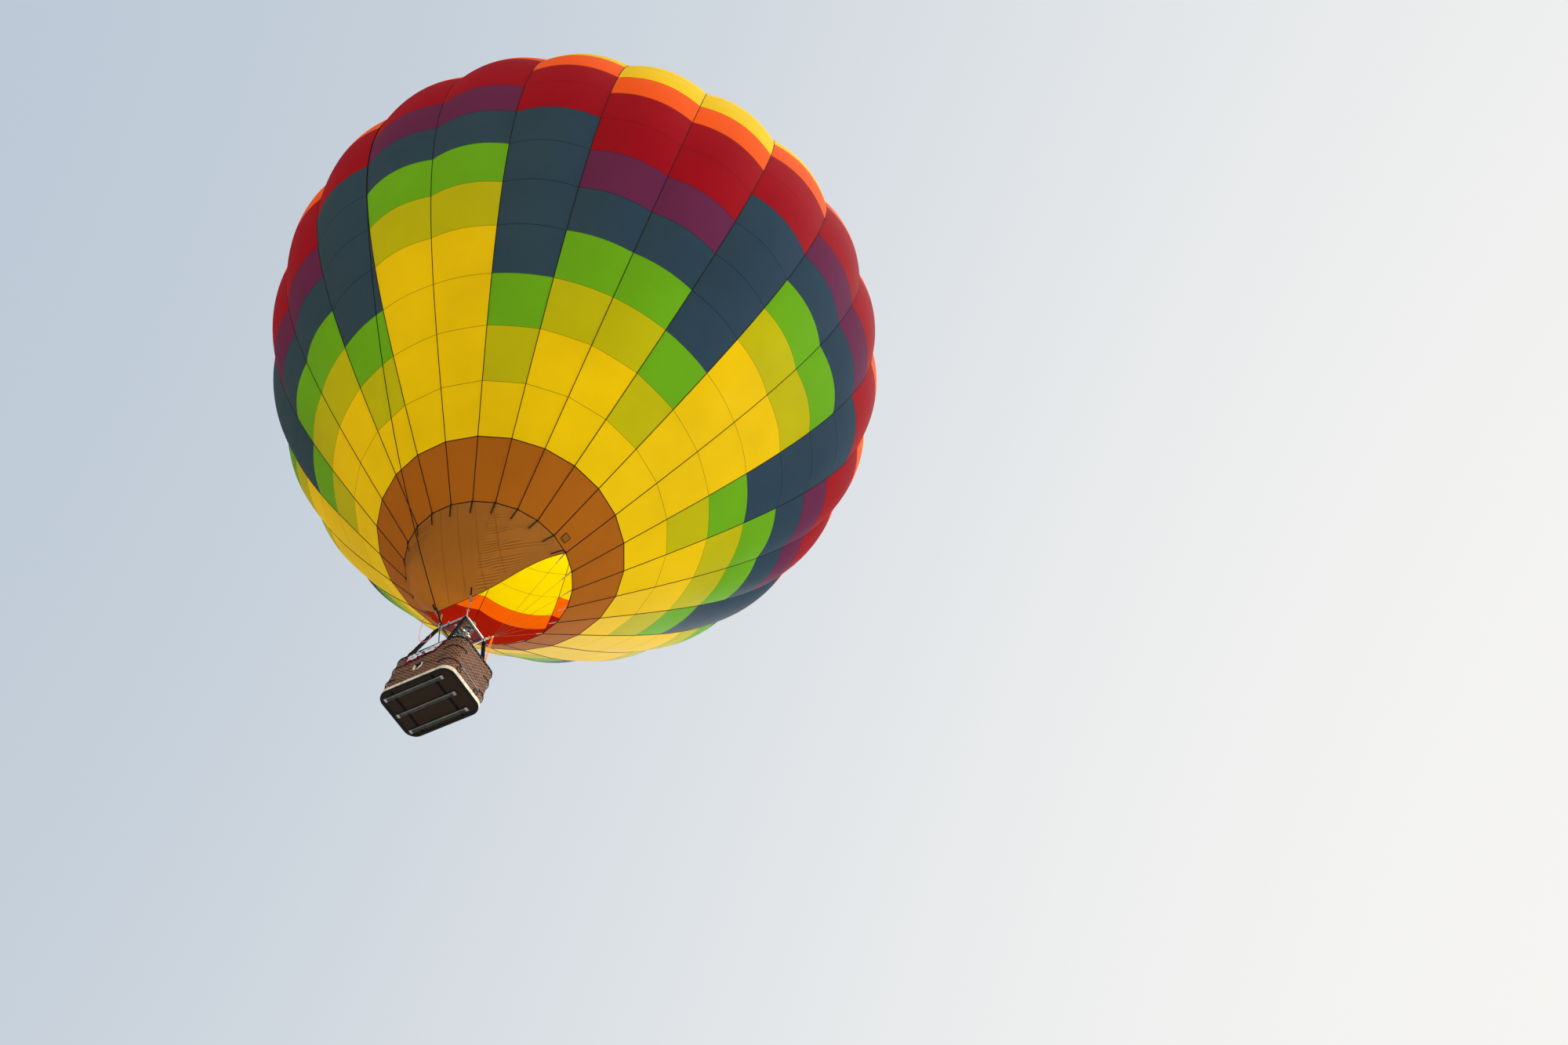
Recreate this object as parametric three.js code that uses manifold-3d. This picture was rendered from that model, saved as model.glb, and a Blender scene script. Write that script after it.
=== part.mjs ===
// A hot air balloon at its real size, in millimetres, +Z up.
// Heights in this file are measured from the underside of the basket's floor board,
// and one group lowers the whole model so that the origin is the envelope's centre of lift.
// +X runs along the basket's long side, and the air scoop faces -Y.
import * as THREE from "three";
import { mergeVertices } from "three/addons/utils/BufferGeometryUtils.js";
import Module from "manifold-3d";

const wasm = await Module();
wasm.setup();

// Driving dimensions of the envelope
const GORES = 24;
const GORE_ANGLE = (2 * Math.PI) / GORES;
const CENTRE_OF_LIFT = 15000; // above the basket's underside
const MOUTH_RADIUS = 1690;
const MOUTH_HEIGHT = 4150;
const MOUTH_SLOPE = (40 * Math.PI) / 180; // of the lowest fabric, from the vertical
const LIFT_CURVATURE = 1.32e-12; // how fast the lifting air bends the load tapes, per mm cubed
const SHOULDER = { from: 10000, to: 20000, extra: 0.38 }; // along the tape, where it bends more
const FABRIC = 10; // shell thickness
const LOWER_BAND = 1410; // height of the heat resistant band along the tape
const CROWN_OPENING = 2600; // radius
const VALVE_LAP = 420; // the valve panel laps this far under the gores
const GORE_BULGE = 0.105; // rise of the fabric between two tapes, as a share of their distance
const SEAM_GAP = 0.4;
const SEAT_GAP = 0.3;

// Driving dimensions of the basket and the burner
const BASKET = { length: 1500, width: 1065, height: 940, corner: 215, wall: 28 };
const FLOOR_BOARD = 18;
const FRAME = { halfX: 305, halfY: 290, height: 2085, tube: 34 };
const TILT_PIN = { radius: 8, clearance: 0.3 };
const CAN = { radius: 106, wall: 4, height: 215, offset: 122 };

const MATERIALS = {
  fabric: { color: 0xe6b800, roughness: 0.6, metalness: 0 },
  heatBand: { color: 0xa85f08, roughness: 0.75, metalness: 0 },
  webbing: { color: 0x14120f, roughness: 0.8, metalness: 0 },
  steel: { color: 0xb9babb, roughness: 0.3, metalness: 1 },
  aluminium: { color: 0xaeb0b0, roughness: 0.4, metalness: 1 },
  brass: { color: 0xb08d57, roughness: 0.35, metalness: 1 },
  wicker: { color: 0x8a5f45, roughness: 0.8, metalness: 0 },
  plywood: { color: 0x3a2614, roughness: 0.8, metalness: 0 },
  rawhide: { color: 0xe2d3b4, roughness: 0.7, metalness: 0 },
  leather: { color: 0x17130f, roughness: 0.55, metalness: 0 },
  banner: { color: 0xd9d5cc, roughness: 0.8, metalness: 0 },
};

const balloon = new THREE.Group();
balloon.position.z = -CENTRE_OF_LIFT;

function addNode(name, geometry, material, parent = balloon) {
  const mesh = new THREE.Mesh(geometry, new THREE.MeshStandardMaterial(MATERIALS[material]));
  mesh.name = name;
  parent.add(mesh);
  return mesh;
}

// Solids: a mesh as a manifold-3d solid and back
function toSolid(geometry) {
  const bare = new THREE.BufferGeometry();
  const source = geometry.index ? geometry.toNonIndexed() : geometry;
  bare.setAttribute("position", source.getAttribute("position"));
  const merged = mergeVertices(bare, 1e-3);
  return new wasm.Manifold(
    new wasm.Mesh({
      numProp: 3,
      vertProperties: merged.attributes.position.array,
      triVerts: new Uint32Array(merged.index.array),
    }),
  );
}

function toGeometry(solid) {
  const mesh = solid.getMesh();
  const geometry = new THREE.BufferGeometry();
  geometry.setAttribute("position", new THREE.BufferAttribute(mesh.vertProperties, 3));
  geometry.setIndex(new THREE.BufferAttribute(mesh.triVerts, 1));
  return geometry;
}

function join(geometries) {
  return toGeometry(geometries.map(toSolid).reduce((whole, piece) => whole.add(piece)));
}

function cut(geometry, tools) {
  return toGeometry(tools.map(toSolid).reduce((whole, tool) => whole.subtract(tool), toSolid(geometry)));
}

// A closed shell between two grids of points. wrap closes it round its second index.
function shell(outer, inner, wrap) {
  const rows = outer.length;
  const columns = outer[0].length;
  const points = [...outer.flat(), ...inner.flat()];
  const out = (i, j) => i * columns + (j % columns);
  const inn = (i, j) => rows * columns + out(i, j);
  const faces = [];
  const quad = (a, b, c, d) => faces.push(a, b, c, a, c, d);
  const last = wrap ? columns : columns - 1;
  for (let j = 0; j < last; j++) {
    for (let i = 0; i < rows - 1; i++) {
      quad(out(i, j), out(i, j + 1), out(i + 1, j + 1), out(i + 1, j));
      quad(inn(i, j), inn(i + 1, j), inn(i + 1, j + 1), inn(i, j + 1));
    }
    quad(out(0, j), inn(0, j), inn(0, j + 1), out(0, j + 1));
    quad(out(rows - 1, j), out(rows - 1, j + 1), inn(rows - 1, j + 1), inn(rows - 1, j));
  }
  for (let i = 0; i < rows - 1 && !wrap; i++) {
    quad(out(i, 0), out(i + 1, 0), inn(i + 1, 0), inn(i, 0));
    quad(out(i, last), inn(i, last), inn(i + 1, last), out(i + 1, last));
  }
  let volume = 0;
  for (let f = 0; f < faces.length; f += 3) {
    const [a, b, c] = [points[faces[f]], points[faces[f + 1]], points[faces[f + 2]]];
    volume += a.dot(new THREE.Vector3().crossVectors(b, c));
  }
  if (volume < 0) faces.reverse();
  const geometry = new THREE.BufferGeometry();
  geometry.setAttribute(
    "position",
    new THREE.Float32BufferAttribute(points.flatMap((p) => [p.x, p.y, p.z]), 3),
  );
  geometry.setIndex(faces);
  return geometry;
}

// A bar of round or square section from one point to another
function bar(from, to, radius, sides = 8, turn = 0) {
  const along = new THREE.Vector3().subVectors(to, from);
  const geometry = new THREE.CylinderGeometry(radius, radius, along.length(), sides);
  geometry.rotateY(turn);
  geometry.translate(0, along.length() / 2, 0);
  const turned = new THREE.Quaternion();
  turned.setFromUnitVectors(new THREE.Vector3(0, 1, 0), along.normalize());
  geometry.applyQuaternion(turned);
  geometry.translate(from.x, from.y, from.z);
  return geometry;
}

function block(sizeX, sizeY, sizeZ, x, y, z) {
  return new THREE.BoxGeometry(sizeX, sizeY, sizeZ).translate(x, y, z);
}

const at = (x, y, z) => new THREE.Vector3(x, y, z);

function smooth(from, to, value) {
  const t = Math.min(Math.max((value - from) / (to - from), 0), 1);
  return t * t * (3 - 2 * t);
}

// The load tape's curve: the shape that fabric takes under lifting air, step by step from the mouth
const STEP = 15;
const tape = [];
for (let s = 0, r = MOUTH_RADIUS, h = MOUTH_HEIGHT, slope = MOUTH_SLOPE; r > 0; s += STEP) {
  tape.push({ r, h, slope });
  const bend = LIFT_CURVATURE * (1 + SHOULDER.extra * smooth(SHOULDER.from, SHOULDER.to, s));
  slope -= bend * r * (h - MOUTH_HEIGHT) * STEP;
  r += Math.sin(slope) * STEP;
  h += Math.cos(slope) * STEP;
}

function onTape(s) {
  const place = Math.min(Math.max(s / STEP, 0), tape.length - 1.001);
  const low = tape[Math.floor(place)];
  const high = tape[Math.floor(place) + 1];
  const share = s / STEP - Math.floor(place);
  const mix = (key) => low[key] + (high[key] - low[key]) * share;
  return { r: mix("r"), h: mix("h"), slope: mix("slope") };
}

const CROWN_EDGE = STEP * tape.findLastIndex(({ r }) => r > CROWN_OPENING);
const VALVE_RIM = CROWN_EDGE - VALVE_LAP;

// How much of the full bulge the fabric has at s: none at the band and at the crown
function fullness(s) {
  return smooth(LOWER_BAND, 9000, s) * (1 - smooth(CROWN_EDGE - 2600, CROWN_EDGE, s));
}

// A point of a gore centred on +X: across runs from -1 at one tape to 1 at the other, and depth goes inwards
function onGore(s, across, depth, gap = SEAM_GAP / 2) {
  const { r, h, slope } = onTape(s);
  const half = r * Math.sin(GORE_ANGLE / 2);
  const rise = GORE_BULGE * 2 * half * fullness(s) * (1 - across * across);
  const y = across * (half - gap);
  const x = r * Math.cos(GORE_ANGLE / 2) + rise * Math.cos(slope);
  const bearing = Math.atan2(across * half, r * Math.cos(GORE_ANGLE / 2));
  const inward = at(-Math.cos(slope) * Math.cos(bearing), -Math.cos(slope) * Math.sin(bearing), Math.sin(slope));
  return at(x, y, h - rise * Math.sin(slope)).addScaledVector(inward, depth);
}

// The gores, each one shell from the heat resistant band to the crown opening
const GORE_SECTIONS = 12;
const GORE_COLUMNS = [-1, -0.5, 0, 0.5, 1];
{
  const sections = Array.from(
    { length: GORE_SECTIONS + 1 },
    (_, i) => LOWER_BAND + ((VALVE_RIM - LOWER_BAND) * i) / GORE_SECTIONS,
  );
  sections.push(CROWN_EDGE);
  const grid = (depth) => sections.map((s) => GORE_COLUMNS.map((across) => onGore(s, across, depth)));
  const goreShell = shell(grid(0), grid(FABRIC), false);
  for (let g = 0; g < GORES; g++) {
    const name = "gore_" + String(g + 1).padStart(2, "0");
    addNode(name, goreShell, "fabric").rotation.z = g * GORE_ANGLE;
  }
}

// A point above a tape's corner of the 24-sided rings: n counts tapes from the first one past +X
function onRing(s, n, depth) {
  const { r, h, slope } = onTape(s);
  const bearing = (n + 0.5) * GORE_ANGLE;
  const reach = r - depth * Math.cos(slope);
  return at(reach * Math.cos(bearing), reach * Math.sin(bearing), h + depth * Math.sin(slope));
}

const ringRow = (s, depth) => Array.from({ length: GORES }, (_, n) => onRing(s, n, depth));

function ringShell(stations, top, bottom) {
  return shell(stations.map((s) => ringRow(s, top)), stations.map((s) => ringRow(s, bottom)), true);
}

addNode("heat_band", ringShell([0, LOWER_BAND - SEAT_GAP], 0, FABRIC), "heatBand");

// The crown: webbing over the opening, its metal ring, and the valve panel pressed up from inside
const CROWN_RING = { radius: 250, width: 34, height: 16 };
const CROWN_TAPE = { width: 50, depth: 6 };
{
  const edge = CROWN_EDGE + SEAT_GAP;
  const domeStations = [CROWN_EDGE + 800, CROWN_EDGE + 1600];
  const hem = ringShell([edge, edge + 120], 0, FABRIC);
  const ringFlat = (CROWN_RING.radius + CROWN_RING.width / 2) * Math.cos(GORE_ANGLE / 2);
  let crownEnd = edge;
  const seated = ({ r, slope }) => r - CROWN_TAPE.depth * Math.cos(slope) < ringFlat + 2 * SEAT_GAP;
  while (!seated(onTape(crownEnd))) crownEnd += 0.25;
  const strap = (n) => {
    const stations = [edge + 60, ...domeStations, crownEnd];
    const side = at(-Math.sin((n + 0.5) * GORE_ANGLE), Math.cos((n + 0.5) * GORE_ANGLE), 0);
    const row = (s, depth) =>
      [-0.5, 0.5].map((k) => onRing(s, n, depth).addScaledVector(side, k * CROWN_TAPE.width));
    return shell(stations.map((s) => row(s, 0)), stations.map((s) => row(s, CROWN_TAPE.depth)), false);
  };
  addNode("crown_tapes", join([hem, ...Array.from({ length: GORES }, (_, n) => strap(n))]), "webbing");

  const ringHeight = onTape(crownEnd).h;
  const [inside, outside] = [-0.5, 0.5].map((k) => CROWN_RING.radius + k * CROWN_RING.width);
  const [low, high] = [ringHeight - CROWN_TAPE.depth, ringHeight - CROWN_TAPE.depth + CROWN_RING.height];
  const section = [
    [inside, low],
    [outside, low],
    [outside, high],
    [inside, high],
    [inside, low],
  ].map(([x, y]) => new THREE.Vector2(x, y));
  addNode("crown_ring", new THREE.LatheGeometry(section, GORES).rotateX(Math.PI / 2), "aluminium");
  const valveTop = FABRIC + 2 * SEAT_GAP;
  const valveStations = [VALVE_RIM, CROWN_EDGE, ...domeStations, crownEnd];
  const skin = (depth) => valveStations.map((s) => ringRow(s, depth));
  const centre = (depth) => Array.from({ length: GORES }, () => at(0, 0, onTape(crownEnd).h - depth));
  const dome = (depth) => [...skin(depth), centre(depth)];
  addNode("parachute_valve", closedDome(dome(valveTop), dome(valveTop + FABRIC)), "fabric");
}

// A dome whose last row of points is one point, so the two skins meet only at the rim
function closedDome(outer, inner) {
  const rings = outer.length - 1;
  const columns = outer[0].length;
  const points = [...outer.slice(0, rings).flat(), outer[rings][0], ...inner.slice(0, rings).flat(), inner[rings][0]];
  const half = rings * columns + 1;
  const out = (i, j) => (i === rings ? half - 1 : i * columns + (j % columns));
  const inn = (i, j) => half + out(i, j);
  const faces = [];
  for (let j = 0; j < columns; j++) {
    for (let i = 0; i < rings; i++) {
      faces.push(out(i, j), out(i, j + 1), out(i + 1, j + 1));
      faces.push(inn(i, j), inn(i + 1, j + 1), inn(i, j + 1));
      if (i < rings - 1) {
        faces.push(out(i, j), out(i + 1, j + 1), out(i + 1, j));
        faces.push(inn(i, j), inn(i + 1, j), inn(i + 1, j + 1));
      }
    }
    faces.push(out(0, j), inn(0, j), inn(0, j + 1), out(0, j), inn(0, j + 1), out(0, j + 1));
  }
  const geometry = new THREE.BufferGeometry();
  geometry.setAttribute(
    "position",
    new THREE.Float32BufferAttribute(points.flatMap((p) => [p.x, p.y, p.z]), 3),
  );
  geometry.setIndex(faces);
  return geometry;
}

// The air scoop: fabric from the mouth ring down to a straight edge beside the burner frame
const SCOOP = { halfWidth: 372, y: -432, height: 2462, firstTape: 11, lastTape: 24, billow: 120 };
{
  const spans = 2 * (SCOOP.lastTape - SCOOP.firstTape);
  const gathered = 9; // spans at each end that run down to one corner
  const gather = 0.06; // how far those spans stay spread along the side edge
  const stations = Array.from({ length: spans + 1 }, (_, i) => i);
  const ringPoint = (i, depth) => {
    const n = SCOOP.firstTape + Math.floor(i / 2);
    const low = onRing(-SEAT_GAP, n, depth);
    return i % 2 ? low.lerp(onRing(-SEAT_GAP, n + 1, depth), 0.5) : low;
  };
  const lowPoint = (i, depth) => {
    const side = i < spans / 2 ? -1 : 1;
    const fromEnd = Math.min(i, spans - i);
    const corner = at(side * SCOOP.halfWidth, SCOOP.y, SCOOP.height);
    if (fromEnd < gathered) {
      return corner.lerp(ringPoint(side < 0 ? 0 : spans, depth), gather * (1 - fromEnd / gathered));
    }
    const along = (i - gathered) / (spans - 2 * gathered);
    return at(SCOOP.halfWidth * (2 * along - 1), SCOOP.y, SCOOP.height);
  };
  const row = (share, depth) =>
    stations.map((i) => {
      const high = ringPoint(i, depth);
      const outward = at(high.x, high.y, 0).normalize();
      const edge = 0.3 + 0.7 * smooth(0, 4, Math.min(i, spans - i));
      const swell = SCOOP.billow * edge * Math.sin(Math.PI * share);
      const skin = share === 0 ? 0 : FABRIC - depth;
      return high.clone().lerp(lowPoint(i, depth), share).addScaledVector(outward, swell + skin);
    });
  const shares = [0, 0.2, 0.45, 0.72, 1];
  addNode("air_scoop", shell(shares.map((h) => row(h, 0)), shares.map((h) => row(h, FABRIC)), false), "heatBand");
}

// The basket: a rounded rectangle with upright walls
function outline(grow, sides = 5) {
  const x = BASKET.length / 2 + grow;
  const y = BASKET.width / 2 + grow;
  const radius = BASKET.corner + grow;
  const points = [];
  for (let corner = 0; corner < 4; corner++) {
    const sx = corner === 0 || corner === 3 ? 1 : -1;
    const sy = corner < 2 ? 1 : -1;
    for (let i = 0; i <= sides; i++) {
      const turn = ((corner + i / sides) * Math.PI) / 2;
      points.push([sx * (x - radius) + radius * Math.cos(turn), sy * (y - radius) + radius * Math.sin(turn)]);
    }
  }
  return points;
}

const loop = (grow, height) => outline(grow).map(([x, y]) => at(x, y, height));

function basketBand(low, high, outerGrow, innerGrow) {
  const rows = (grow) => [low, high].map((height) => loop(grow, height));
  return shell(rows(outerGrow), rows(innerGrow), true);
}

function plate(grow, low, high) {
  const shape = new THREE.Shape(outline(grow).map(([x, y]) => new THREE.Vector2(x, y)));
  return new THREE.ExtrudeGeometry(shape, { depth: high - low, bevelEnabled: false }).translate(0, 0, low);
}

const TRIM = { depth: 9, low: -12, high: 92 };
const STEP_HOLE = { width: 165, height: 150, x: -40, low: 350 };
const RIM = { radius: 31, sides: 8 };
const RIM_FLAT = RIM.radius * Math.cos(Math.PI / RIM.sides); // from the padding's middle to its flats
const RIM_GROW = -TRIM.depth - BASKET.wall / 2; // of the padding's middle line
addNode("floor_board", plate(-SEAT_GAP - TRIM.depth, 0, FLOOR_BOARD), "plywood");
{
  const wall = basketBand(FLOOR_BOARD + SEAT_GAP, BASKET.height - RIM_FLAT, -TRIM.depth, -TRIM.depth - BASKET.wall);
  const holeHeight = STEP_HOLE.low + STEP_HOLE.height / 2;
  const holes = [-1, 1].map((side) =>
    block(STEP_HOLE.width, 160, STEP_HOLE.height, -side * STEP_HOLE.x, (side * BASKET.width) / 2, holeHeight),
  );
  addNode("wicker_wall", cut(wall, holes), "wicker");
}
addNode("scuff_band", basketBand(TRIM.low, TRIM.high, 0, -TRIM.depth + SEAT_GAP), "rawhide");
{
  const middle = RIM_GROW;
  const section = [];
  for (let i = 0; i < RIM.sides; i++) {
    const turn = ((i + 0.5) * 2 * Math.PI) / RIM.sides;
    section.push([RIM.radius * Math.cos(turn), RIM.radius * Math.sin(turn)]);
  }
  const centreHeight = BASKET.height + SEAT_GAP;
  const rows = [...section, section[0]].map(([side, up]) => loop(middle + side, centreHeight + up));
  addNode("rim_padding", ringOf(rows), "leather");
}

// A closed ring of loops, the last of which repeats the first
function ringOf(rows) {
  const count = rows.length - 1;
  const columns = rows[0].length;
  const points = rows.slice(0, count).flat();
  const faces = [];
  for (let i = 0; i < count; i++) {
    for (let j = 0; j < columns; j++) {
      const [a, b] = [i * columns + j, i * columns + ((j + 1) % columns)];
      const [c, d] = [((i + 1) % count) * columns + ((j + 1) % columns), ((i + 1) % count) * columns + j];
      faces.push(a, b, c, a, c, d);
    }
  }
  const geometry = new THREE.BufferGeometry();
  geometry.setAttribute(
    "position",
    new THREE.Float32BufferAttribute(points.flatMap((p) => [p.x, p.y, p.z]), 3),
  );
  geometry.setIndex(faces);
  return geometry;
}

// Under the floor: three skids, held together by two straps under the floor board
const STRAP = { width: 46, depth: 4, places: [-460, 370] };
const SKID = { length: 1205, width: 62, depth: 27, spacing: 372, x: -57 };
{
  const strapTop = -SEAT_GAP;
  const skidTop = strapTop - STRAP.depth;
  const straps = STRAP.places.map((x) =>
    block(STRAP.width, BASKET.width - 70, STRAP.depth + 1, x, 0, strapTop - (STRAP.depth + 1) / 2),
  );
  const skids = [-1, 0, 1].map((place) =>
    block(SKID.length, SKID.width, SKID.depth, SKID.x, place * SKID.spacing, skidTop - SKID.depth / 2),
  );
  addNode("floor_skids", join([...straps, ...skids]), "aluminium");
}

// Fuel cylinders standing on the floor in padded jackets
const CYLINDER = { radius: 165, height: 700, dome: 90, valve: 26 };
const CYLINDER_PLACES = [
  [-1, -1],
  [-1, 1],
  [1, 1],
];
CYLINDER_PLACES.forEach(([sx, sy], i) => {
  const { radius, height, dome, valve } = CYLINDER;
  const profile = [
    [0, 0],
    [radius, 0],
    [radius, height - dome],
    [radius * 0.72, height - dome * 0.3],
    [radius * 0.25, height],
    [valve, height],
    [valve, height + 46],
    [0, height + 46],
  ].map(([x, y]) => new THREE.Vector2(x, y));
  const cylinder = addNode("fuel_cylinder_" + (i + 1), new THREE.LatheGeometry(profile, 16), "leather");
  cylinder.rotation.x = Math.PI / 2;
  const clear = BASKET.wall + TRIM.depth + 12 + radius;
  cylinder.position.set(sx * (BASKET.length / 2 - clear), sy * (BASKET.width / 2 - clear), FLOOR_BOARD + SEAT_GAP);
});

// The burner frame: a tube rectangle with upright sockets, lifting eyes and two tilt bearings
const FRAME_CORNERS = [
  [1, 1],
  [-1, 1],
  [-1, -1],
  [1, -1],
];
const EYE = { plate: 12, width: 44, hole: 24, height: 58 };
const UPRIGHT = { radius: 38, footX: 420 };
const SOCKET = { radius: 24, length: 70 };
const RING = { halfX: 262, halfY: 248, bar: 20 };
const BEARING = { inside: RING.halfX + RING.bar / 2 + 5, size: 44, depth: 22 };
const uprightFoot = (sx, sy) =>
  at(sx * UPRIGHT.footX, sy * (BASKET.width / 2 + RIM_GROW), BASKET.height + SEAT_GAP + RIM_FLAT);
const frameCorner = (sx, sy) => at(sx * FRAME.halfX, sy * FRAME.halfY, FRAME.height);

function eyeRing() {
  const shape = new THREE.Shape();
  const [w, top] = [EYE.width / 2, EYE.height];
  shape.moveTo(-w, 0).lineTo(w, 0).lineTo(w, top - 8).lineTo(w - 8, top).lineTo(8 - w, top).lineTo(-w, top - 8);
  const hole = new THREE.Path();
  const [side, low, high] = [EYE.hole / 2, top - 12 - EYE.hole, top - 12];
  hole.moveTo(-side, low).lineTo(-side, high).lineTo(side, high).lineTo(side, low).lineTo(-side, low);
  shape.holes.push(hole);
  const geometry = new THREE.ExtrudeGeometry(shape, { depth: EYE.plate, bevelEnabled: false });
  return geometry.translate(0, 0, -EYE.plate / 2).rotateX(Math.PI / 2);
}

// Where each corner's six wires join: higher on the scoop's side, whose corner they carry
const WIRE_HUBS = { front: { x: 315, y: 360, z: 2420 }, rear: { x: 354, y: 407, z: 2300 } };

function wireHub(sx, sy) {
  const hub = sy < 0 ? WIRE_HUBS.front : WIRE_HUBS.rear;
  return at(sx * hub.x, sy * hub.y, hub.z);
}

// Sets a shape made around +Z on the line from a frame corner to its wires, that far up it
function placedAtCorner(geometry, sx, sy, lift, quarter) {
  const corner = frameCorner(sx, sy);
  const pull = wireHub(sx, sy).sub(corner).normalize();
  const turned = new THREE.Quaternion().setFromUnitVectors(at(0, 0, 1), pull);
  return geometry.rotateZ(quarter).translate(0, 0, lift).applyQuaternion(turned).translate(...corner.toArray());
}

{
  const pieces = [];
  for (let i = 0; i < 4; i++) {
    const [sx, sy] = FRAME_CORNERS[i];
    const [tx, ty] = FRAME_CORNERS[(i + 1) % 4];
    pieces.push(bar(frameCorner(sx, sy), frameCorner(tx, ty), FRAME.tube / 2, 12));
    pieces.push(new THREE.SphereGeometry(FRAME.tube / 2 + 7, 10, 6).translate(...frameCorner(sx, sy).toArray()));
    const down = uprightFoot(sx, sy).sub(frameCorner(sx, sy)).normalize();
    pieces.push(
      bar(frameCorner(sx, sy), frameCorner(sx, sy).addScaledVector(down, SOCKET.length), SOCKET.radius, 12),
    );
    pieces.push(placedAtCorner(eyeRing(), sx, sy, 0, Math.PI / 2));
  }
  const bore = (TILT_PIN.radius + TILT_PIN.clearance) / Math.cos(Math.PI / 16);
  const lugSize = FRAME.halfX - BEARING.inside;
  const onSide = (side, reach) => at(side * reach, 0, FRAME.height);
  [-1, 1].forEach((side) => {
    const middle = side * (BEARING.inside + lugSize / 2);
    pieces.push(block(lugSize, BEARING.size, BEARING.size, middle, 0, FRAME.height));
  });
  const bores = [-1, 1].map((side) =>
    bar(onSide(side, BEARING.inside - 10), onSide(side, BEARING.inside + BEARING.depth), bore, 16),
  );
  addNode("burner_frame", cut(join(pieces), bores), "steel");
}

// Uprights: padded rods from the rim to the frame's sockets
FRAME_CORNERS.forEach(([sx, sy], i) => {
  const foot = uprightFoot(sx, sy);
  const corner = frameCorner(sx, sy);
  const up = corner.clone().sub(foot).normalize();
  const top = corner.clone().addScaledVector(up, -SOCKET.length - SEAT_GAP);
  const rod = bar(foot.clone().addScaledVector(up, -120), top, UPRIGHT.radius, 12);
  const under = block(400, 400, 400, foot.x, foot.y, foot.z + SEAT_GAP - 200);
  addNode("upright_" + (i + 1), cut(rod, [under]), "leather");
});

// The wires: six from each quarter of the mouth, joined at a ring and hung in a carabiner
const WIRE = { radius: 3, tabLength: 240, tabWidth: 44, tabDepth: 6, tabLap: 70 };
// A flat tab lies across the band's inner corner at each load tape, so its edges touch first
const cornerDepth = (WIRE.tabWidth / 2) * Math.tan(GORE_ANGLE / 2);
const tabDepth = FABRIC + cornerDepth + SEAT_GAP + WIRE.tabDepth / 2;
const LINK = { long: 104, wide: 50, rod: 11 };
const WIRE_RING = { half: 24, rod: 9 };
const eyeTop = EYE.height - 12; // the inside of the eye's top bar, above the corner

function linkRing() {
  const straight = LINK.long / 2 - LINK.wide / 2;
  const oval = (path, radius) => {
    for (let i = 0; i <= BOW_SIDES; i++) {
      const turn = (i * Math.PI) / BOW_SIDES;
      const [x, y] = [radius * Math.cos(turn), straight + radius * Math.sin(turn)];
      if (i === 0) path.moveTo(x, y);
      else path.lineTo(x, y);
    }
    for (let i = BOW_SIDES; i <= 2 * BOW_SIDES; i++) {
      const turn = (i * Math.PI) / BOW_SIDES;
      path.lineTo(radius * Math.cos(turn), -straight + radius * Math.sin(turn));
    }
    return path;
  };
  const shape = oval(new THREE.Shape(), LINK.wide / 2);
  shape.holes.push(oval(new THREE.Path(), LINK.wide / 2 - LINK.rod));
  const geometry = new THREE.ExtrudeGeometry(shape, { depth: LINK.rod, bevelEnabled: false });
  return geometry.translate(0, 0, -LINK.rod / 2).rotateX(Math.PI / 2);
}

const BOW_SIDES = 6;
const bowInside = LINK.wide / 2 - LINK.rod;
const bowFlat = bowInside * Math.cos(Math.PI / (2 * BOW_SIDES));
const bowRise = (half) => bowInside - Math.sqrt(bowFlat * bowFlat - half * half) + SEAT_GAP;
const linkLift = eyeTop - LINK.rod - bowRise(EYE.plate / 2) + LINK.long / 2;
FRAME_CORNERS.forEach(([sx, sy], i) => {
  addNode("carabiner_" + (i + 1), placedAtCorner(linkRing(), sx, sy, linkLift, 0), "steel");
});

function squareRing(half, rod) {
  const square = (path, w) => path.moveTo(-w, -w).lineTo(w, -w).lineTo(w, w).lineTo(-w, w).lineTo(-w, -w);
  const shape = square(new THREE.Shape(), half);
  shape.holes.push(square(new THREE.Path(), half - rod));
  const geometry = new THREE.ExtrudeGeometry(shape, { depth: rod, bevelEnabled: false });
  return geometry.translate(0, 0, -rod / 2).rotateX(Math.PI / 2);
}

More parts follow.
